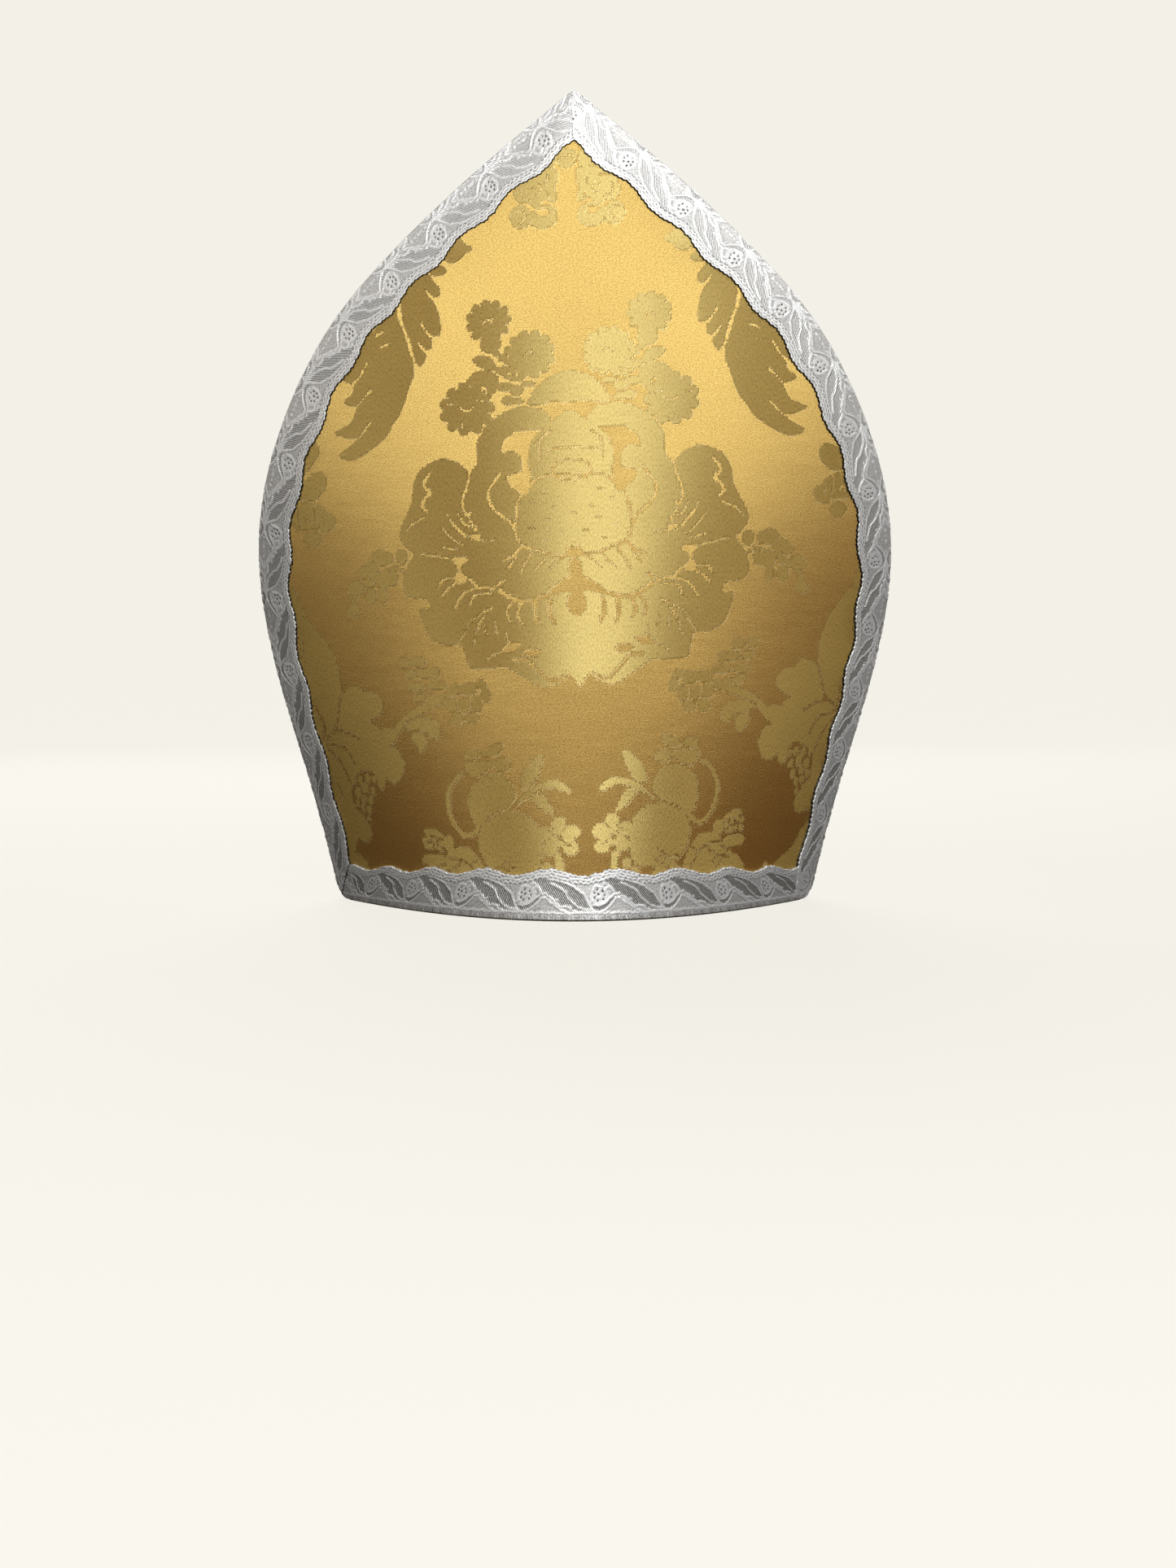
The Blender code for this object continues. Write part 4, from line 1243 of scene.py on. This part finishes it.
UP, ACROSS = 0.0, 0.25      # how the satin's floats run, as a turn of their gloss
GLOSS_STRETCH = 0.93        # how far the gloss is drawn out across the floats
SATIN_ROUGHNESS = 0.66
SPECK_DULLNESS = 0.47       # how far the dullest threads lose the satin's gloss
CLOUD_WAVES = 0.035         # a millimetre, in the satin's slow change of shade
SWELL_WAVES = (0.06, 0.16, 1.0)     # the same across and up, in the unevenness of the stretched cloth
SWELL_MM = 0.10
RIB_MM = 0.74               # between the ribs of the galloon's leaves
PLAIN_THREADS_MM = 0.7      # between the plain cloth's threads


def satin(name, run, grain, relief_mm, dark, light, ior, tint):
    """Silk satin: long floats that shine across their own direction. grain is in waves a millimetre."""
    cloth = Surface(name, anisotropic_rotation=run, anisotropic=GLOSS_STRETCH, ior=ior,
                    specular_ior_level=1.0, specular_tint=colour(*tint))
    place = cloth.mark("cloth_mm", "Vector")
    floats = cloth.noise(cloth.stretched(place, grain), 1.0, 2.0)
    clouds = cloth.noise(place, CLOUD_WAVES, 3.0)
    swell = cloth.noise(cloth.stretched(place, SWELL_WAVES), 1.0, 2.0)
    shade = floats * 0.75 + clouds * 0.25
    specks = cloth.noise(cloth.stretched(place, grain), 0.9, 2.0)
    return cloth.dress(
        base_color=cloth.mixed(shade.within(0.30, 0.70), colour(*dark), colour(*light)),
        metallic=specks.within(0.44, 0.64) * SPECK_DULLNESS,
        roughness=SATIN_ROUGHNESS + 0.24 * (floats - 0.5),
        normal=cloth.bumped(floats * relief_mm + swell * SWELL_MM, MM))


def gold_glint(name):
    """The round end of a gilt thread, coloured a bright gold so that it shows as a painted glint from
    any side.
    """
    thread = Surface(name, metallic=0.4)
    twist = thread.noise(thread.mark("cloth_mm", "Vector"), 1.5, 1.0)
    # a bright gold, so that the raised thread end shows as a painted glint however the light falls
    gold = thread.mixed(twist, colour(0.74, 0.50, 0.17), colour(1.00, 0.83, 0.42))
    return thread.dress(base_color=gold, roughness=0.42 + 0.2 * twist)


def silver_braid(name):
    """Woven silver: white raised cords, ribbed leaves and a stippled ground, whose strong speckle paints
    the silver's glints into its colour.
    """
    braid = Surface(name)
    place = braid.mark("galloon_mm", "Vector")
    tone, ribs = braid.mark("tone"), braid.mark("ribs")
    u, v = braid.across_and_up(place)
    rib = ((u * 0.84 + v * 0.55) * (2 * math.pi / RIB_MM)).sine() * 0.5 + 0.5
    coarse = braid.noise(braid.stretched(place, (1.1, 1.8, 1.0)), 1.0, 2.0)
    stipple = braid.noise(braid.stretched(place, (1.7, 2.1, 1.0)), 1.0, 3.0)
    # the stipple is the threads' uneven tone, so strong that its light specks are painted glints and its
    # dark ones painted shade between the threads
    shade = tone + ribs * (rib - 0.5) * 0.50 + (coarse - 0.5) * 0.50 + (stipple - 0.5) * 1.05
    ramp = braid.node("ShaderNodeValToRGB", {"stops": (
        (0.0, (0.010, 0.008, 0.006)), (0.20, (0.13, 0.122, 0.105)), (0.50, (0.44, 0.435, 0.42)),
        (0.78, (0.66, 0.66, 0.655)), (1.0, (0.84, 0.84, 0.84)))}, (shade,))
    relief = tone * 0.5 + stipple * 0.6 + ribs * rib * 0.4
    bare = 0.38 * (1 - tone.within(0.0, 0.3))        # no sheen where the tone is darkest, as on the painted shadow at the lace edge's foot
    return braid.dress(base_color=ramp, roughness=0.50 + 0.08 * (1 - tone), metallic=0.58 + bare,
                       normal=braid.bumped(relief, 0.30 * MM, 0.8))


def plain_cloth(name, dark, light):
    """Closely woven plain cloth."""
    cloth = Surface(name, roughness=0.62)
    place = cloth.mark("cloth_mm", "Vector")
    x, y = cloth.across_and_up(place)
    thread = 2 * math.pi / PLAIN_THREADS_MM
    weave = (x * thread).sine() * (y * thread).sine() * 0.5 + 0.5
    slub = cloth.noise(cloth.stretched(place, (0.9, 0.12, 1.0)), 1.0, 3.0)
    shade = weave * 0.35 + slub * 0.65
    return cloth.dress(base_color=cloth.mixed(shade.within(0.25, 0.75), colour(*dark), colour(*light)),
                       normal=cloth.bumped(shade, 0.12 * MM, 0.5))


def pale_paper(name, albedo, near_glow):
    """The studio's matt pale paper, which glows so that it stays even, less so near the mitre."""
    paper = Surface(name, roughness=0.95, emission_strength=1.0, specular_ior_level=0.1)
    place = paper.node("ShaderNodeTexCoord", {}, (), "Object")
    clouds = paper.noise(place, 2.0, 2.0)
    away = paper.node("ShaderNodeVectorMath", {"operation": "LENGTH"}, (place,), "Value")
    tone = tuple(albedo * x for x in PALE)
    near = colour(*(near_glow * x for x in PALE))
    return paper.dress(base_color=paper.mixed(clouds, colour(*tone), colour(*(1.02 * x for x in tone))),
                       emission_color=paper.mixed(away.within(0.3, 1.2), near, colour(*PALE)))


# ======================================================================
# The mitre
# ======================================================================

SATIN_GROUND = satin("gold satin ground", UP, (1.5, 2.2, 1.0), 0.08, (0.140, 0.026, 0.000),
                     (0.220, 0.048, 0.001), ior=3.20, tint=(1.0, 0.810, 0.280))
WOVEN_FIGURE = satin("gold woven figure", ACROSS, (2.2, 0.9, 1.0), 0.10, (0.360, 0.208, 0.046),
                     (0.490, 0.288, 0.068), ior=3.3, tint=(0.93, 0.845, 0.370))
# dark satin for the strips of painted shade beside the figure's steps
FIGURE_PAINTED_SHADE = satin("painted shade beside the floats", ACROSS, (2.4, 0.9, 1.0), 0.07,
                     (0.070, 0.036, 0.006), (0.110, 0.058, 0.010), ior=1.8, tint=(0.880, 0.700, 0.300))
# small raised thread ends beside the figure's steps, painted bright as glints
THREAD_GLINT = gold_glint("raised thread ends painted as glints")
SILVER = silver_braid("silver galloon")
GOLD_CLOTH = plain_cloth("plain gold cloth", (0.36, 0.23, 0.07), (0.47, 0.31, 0.10))

FRONT_STEP_MM, BACK_STEP_MM = 0.42, 0.60        # between the galloon's points
HEM_PHASE_MM = 5.0          # the place in the galloon's repeat at the middle of the hem


def dress_horn(word, facing):
    """One horn with its cloth and braid."""
    step = FRONT_STEP_MM if facing < 0 else BACK_STEP_MM
    body = horn_body(word + "_horn_body", facing, GOLD_CLOTH)
    ground = damask_ground(word + "_damask", facing, SATIN_GROUND)
    figure = woven_figure(word + "_woven_figure", facing, WOVEN_FIGURE, FIGURE_PAINTED_SHADE,
                          THREAD_GLINT)
    left = edge_galloon(word + "_left_galloon", facing, SILVER, -1, step, GALLOON_LIFT)
    right = edge_galloon(word + "_right_galloon", facing, SILVER, 1, step, GALLOON_LIFT * 1.3)
    hem = hem_galloon(word + "_hem_braid", facing, SILVER, step, HEM_PHASE_MM)
    for made in (body, ground, figure, left, right, hem):
        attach(made, "root")
    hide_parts(word + "_panel")
    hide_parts(word + "_edge_galloon")
    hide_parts(word + "_edge_galloon")
    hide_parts(word + "_hem_galloon")
    return body, ground, figure, left, right, hem


for word, facing in (("front", -1), ("back", 1)):
    body, ground, figure, left, right, hem = dress_horn(word, facing)

soft = gusset("gusset_cloth_between", GOLD_CLOTH)
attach(soft, "root")
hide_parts("crown_gusset")


# ======================================================================
# The studio
# ======================================================================

TURNS = 96                  # points in one ring of the floor and the dome
DOME_REACH, DOME_RINGS = 9.0, 25
FLOOR_RINGS = (0.0, 0.3, 0.8, 2.0, 5.0, DOME_REACH)
DOME_SINK = 0.01            # the dome's foot lies under the floor


def studio_room():
    """A pale round floor under a pale dome. Neither throws light back on the mitre."""
    angles = np.linspace(0, 2 * math.pi, TURNS, endpoint=False)
    disc = [(r * math.cos(a), r * math.sin(a), 0.0) for r in FLOOR_RINGS for a in angles]
    floor = piece("studio_floor", disc, grid_faces(len(FLOOR_RINGS), TURNS, around=True),
                  [pale_paper("pale studio floor", 0.03, near_glow=0.930)])
    dome = [(DOME_REACH * math.cos(e) * math.cos(a), DOME_REACH * math.cos(e) * math.sin(a),
             DOME_REACH * math.sin(e) - DOME_SINK)
            for e in np.linspace(0, math.pi / 2, DOME_RINGS) for a in angles]
    sky = piece("studio_dome", dome, grid_faces(DOME_RINGS, TURNS, around=True),
                [pale_paper("pale studio dome", 0.02, near_glow=1.0)])
    for made in (floor, sky):
        made.visible_diffuse = made.visible_glossy = False
    sky.visible_shadow = False


LIGHT_AIM = (0.0, -0.05, 0.18)
PURE, WARM = (1.0, 1.0, 1.0), (1.0, 0.91, 0.80)


def studio_light(name, azimuth, elevation, away, wide, high, watts, tint):
    """A soft light that looks at the middle of the mitre; azimuth 0 is in front, 90 on its right."""
    lamp = bpy.data.lights.new(name, "AREA")
    lamp.shape, lamp.size, lamp.size_y, lamp.energy = "RECTANGLE", wide, high, watts
    lamp.color = tint
    made = bpy.data.objects.new(name, lamp)
    bpy.context.scene.collection.objects.link(made)
    turn, rise = math.radians(azimuth), math.radians(elevation)
    toward = Vector((math.sin(turn) * math.cos(rise), -math.cos(turn) * math.cos(rise), math.sin(rise)))
    made.location = Vector(LIGHT_AIM) + away * toward
    made.rotation_euler = toward.to_track_quat("Z", "Y").to_euler()
    made.visible_camera = False


# name, azimuth, elevation, distance, width, height, watts and colour
LIGHTS = (
    ("front soft light", 0, 23, 1.25, 0.34, 0.56, 8.4, PURE),
    ("right soft light", 28, 27, 1.25, 0.34, 0.48, 7.7, PURE),
    ("middle soft light", 12, 16, 1.25, 0.34, 0.30, 2.6, PURE),
    ("left front fill", -30, 12, 1.25, 0.30, 0.30, 1.0, WARM),
    ("left fill", -70, 14, 1.25, 0.30, 0.40, 1.8, WARM),
    ("right fill", 72, 4, 1.25, 0.30, 0.30, 0.6, WARM),
    ("right edge light", 112, 40, 1.25, 0.40, 0.40, 3.0, WARM),
    ("left edge light", -112, 40, 1.25, 0.40, 0.40, 1.6, WARM),
    ("back soft light", 190, 23, 1.25, 1.00, 0.62, 18.0, PURE),
    ("top fill", 0, 90, 1.40, 0.80, 0.80, 2.0, PURE),
)
AIR_COLOUR, AIR_STRENGTH = (1.0, 0.985, 0.955), 0.05

studio_room()
for light in LIGHTS:
    studio_light(*light)

world = bpy.data.worlds.new("studio air")
world.use_nodes = True
air = world.node_tree.nodes["Background"]
air.inputs["Color"].default_value = colour(*AIR_COLOUR)
air.inputs["Strength"].default_value = AIR_STRENGTH
bpy.context.scene.world = world
bpy.context.scene.view_settings.view_transform = "Standard"

lens = bpy.data.cameras.new("photograph")
lens.lens, lens.sensor_width, lens.sensor_fit = CAMERA_LENS, CAMERA_SENSOR, "AUTO"
camera = bpy.data.objects.new("photograph", lens)
bpy.context.scene.collection.objects.link(camera)
camera.location = CAMERA_PLACE
camera.rotation_euler = (math.radians(90 - CAMERA_PITCH_DOWN), 0, 0)
bpy.context.scene.camera = camera
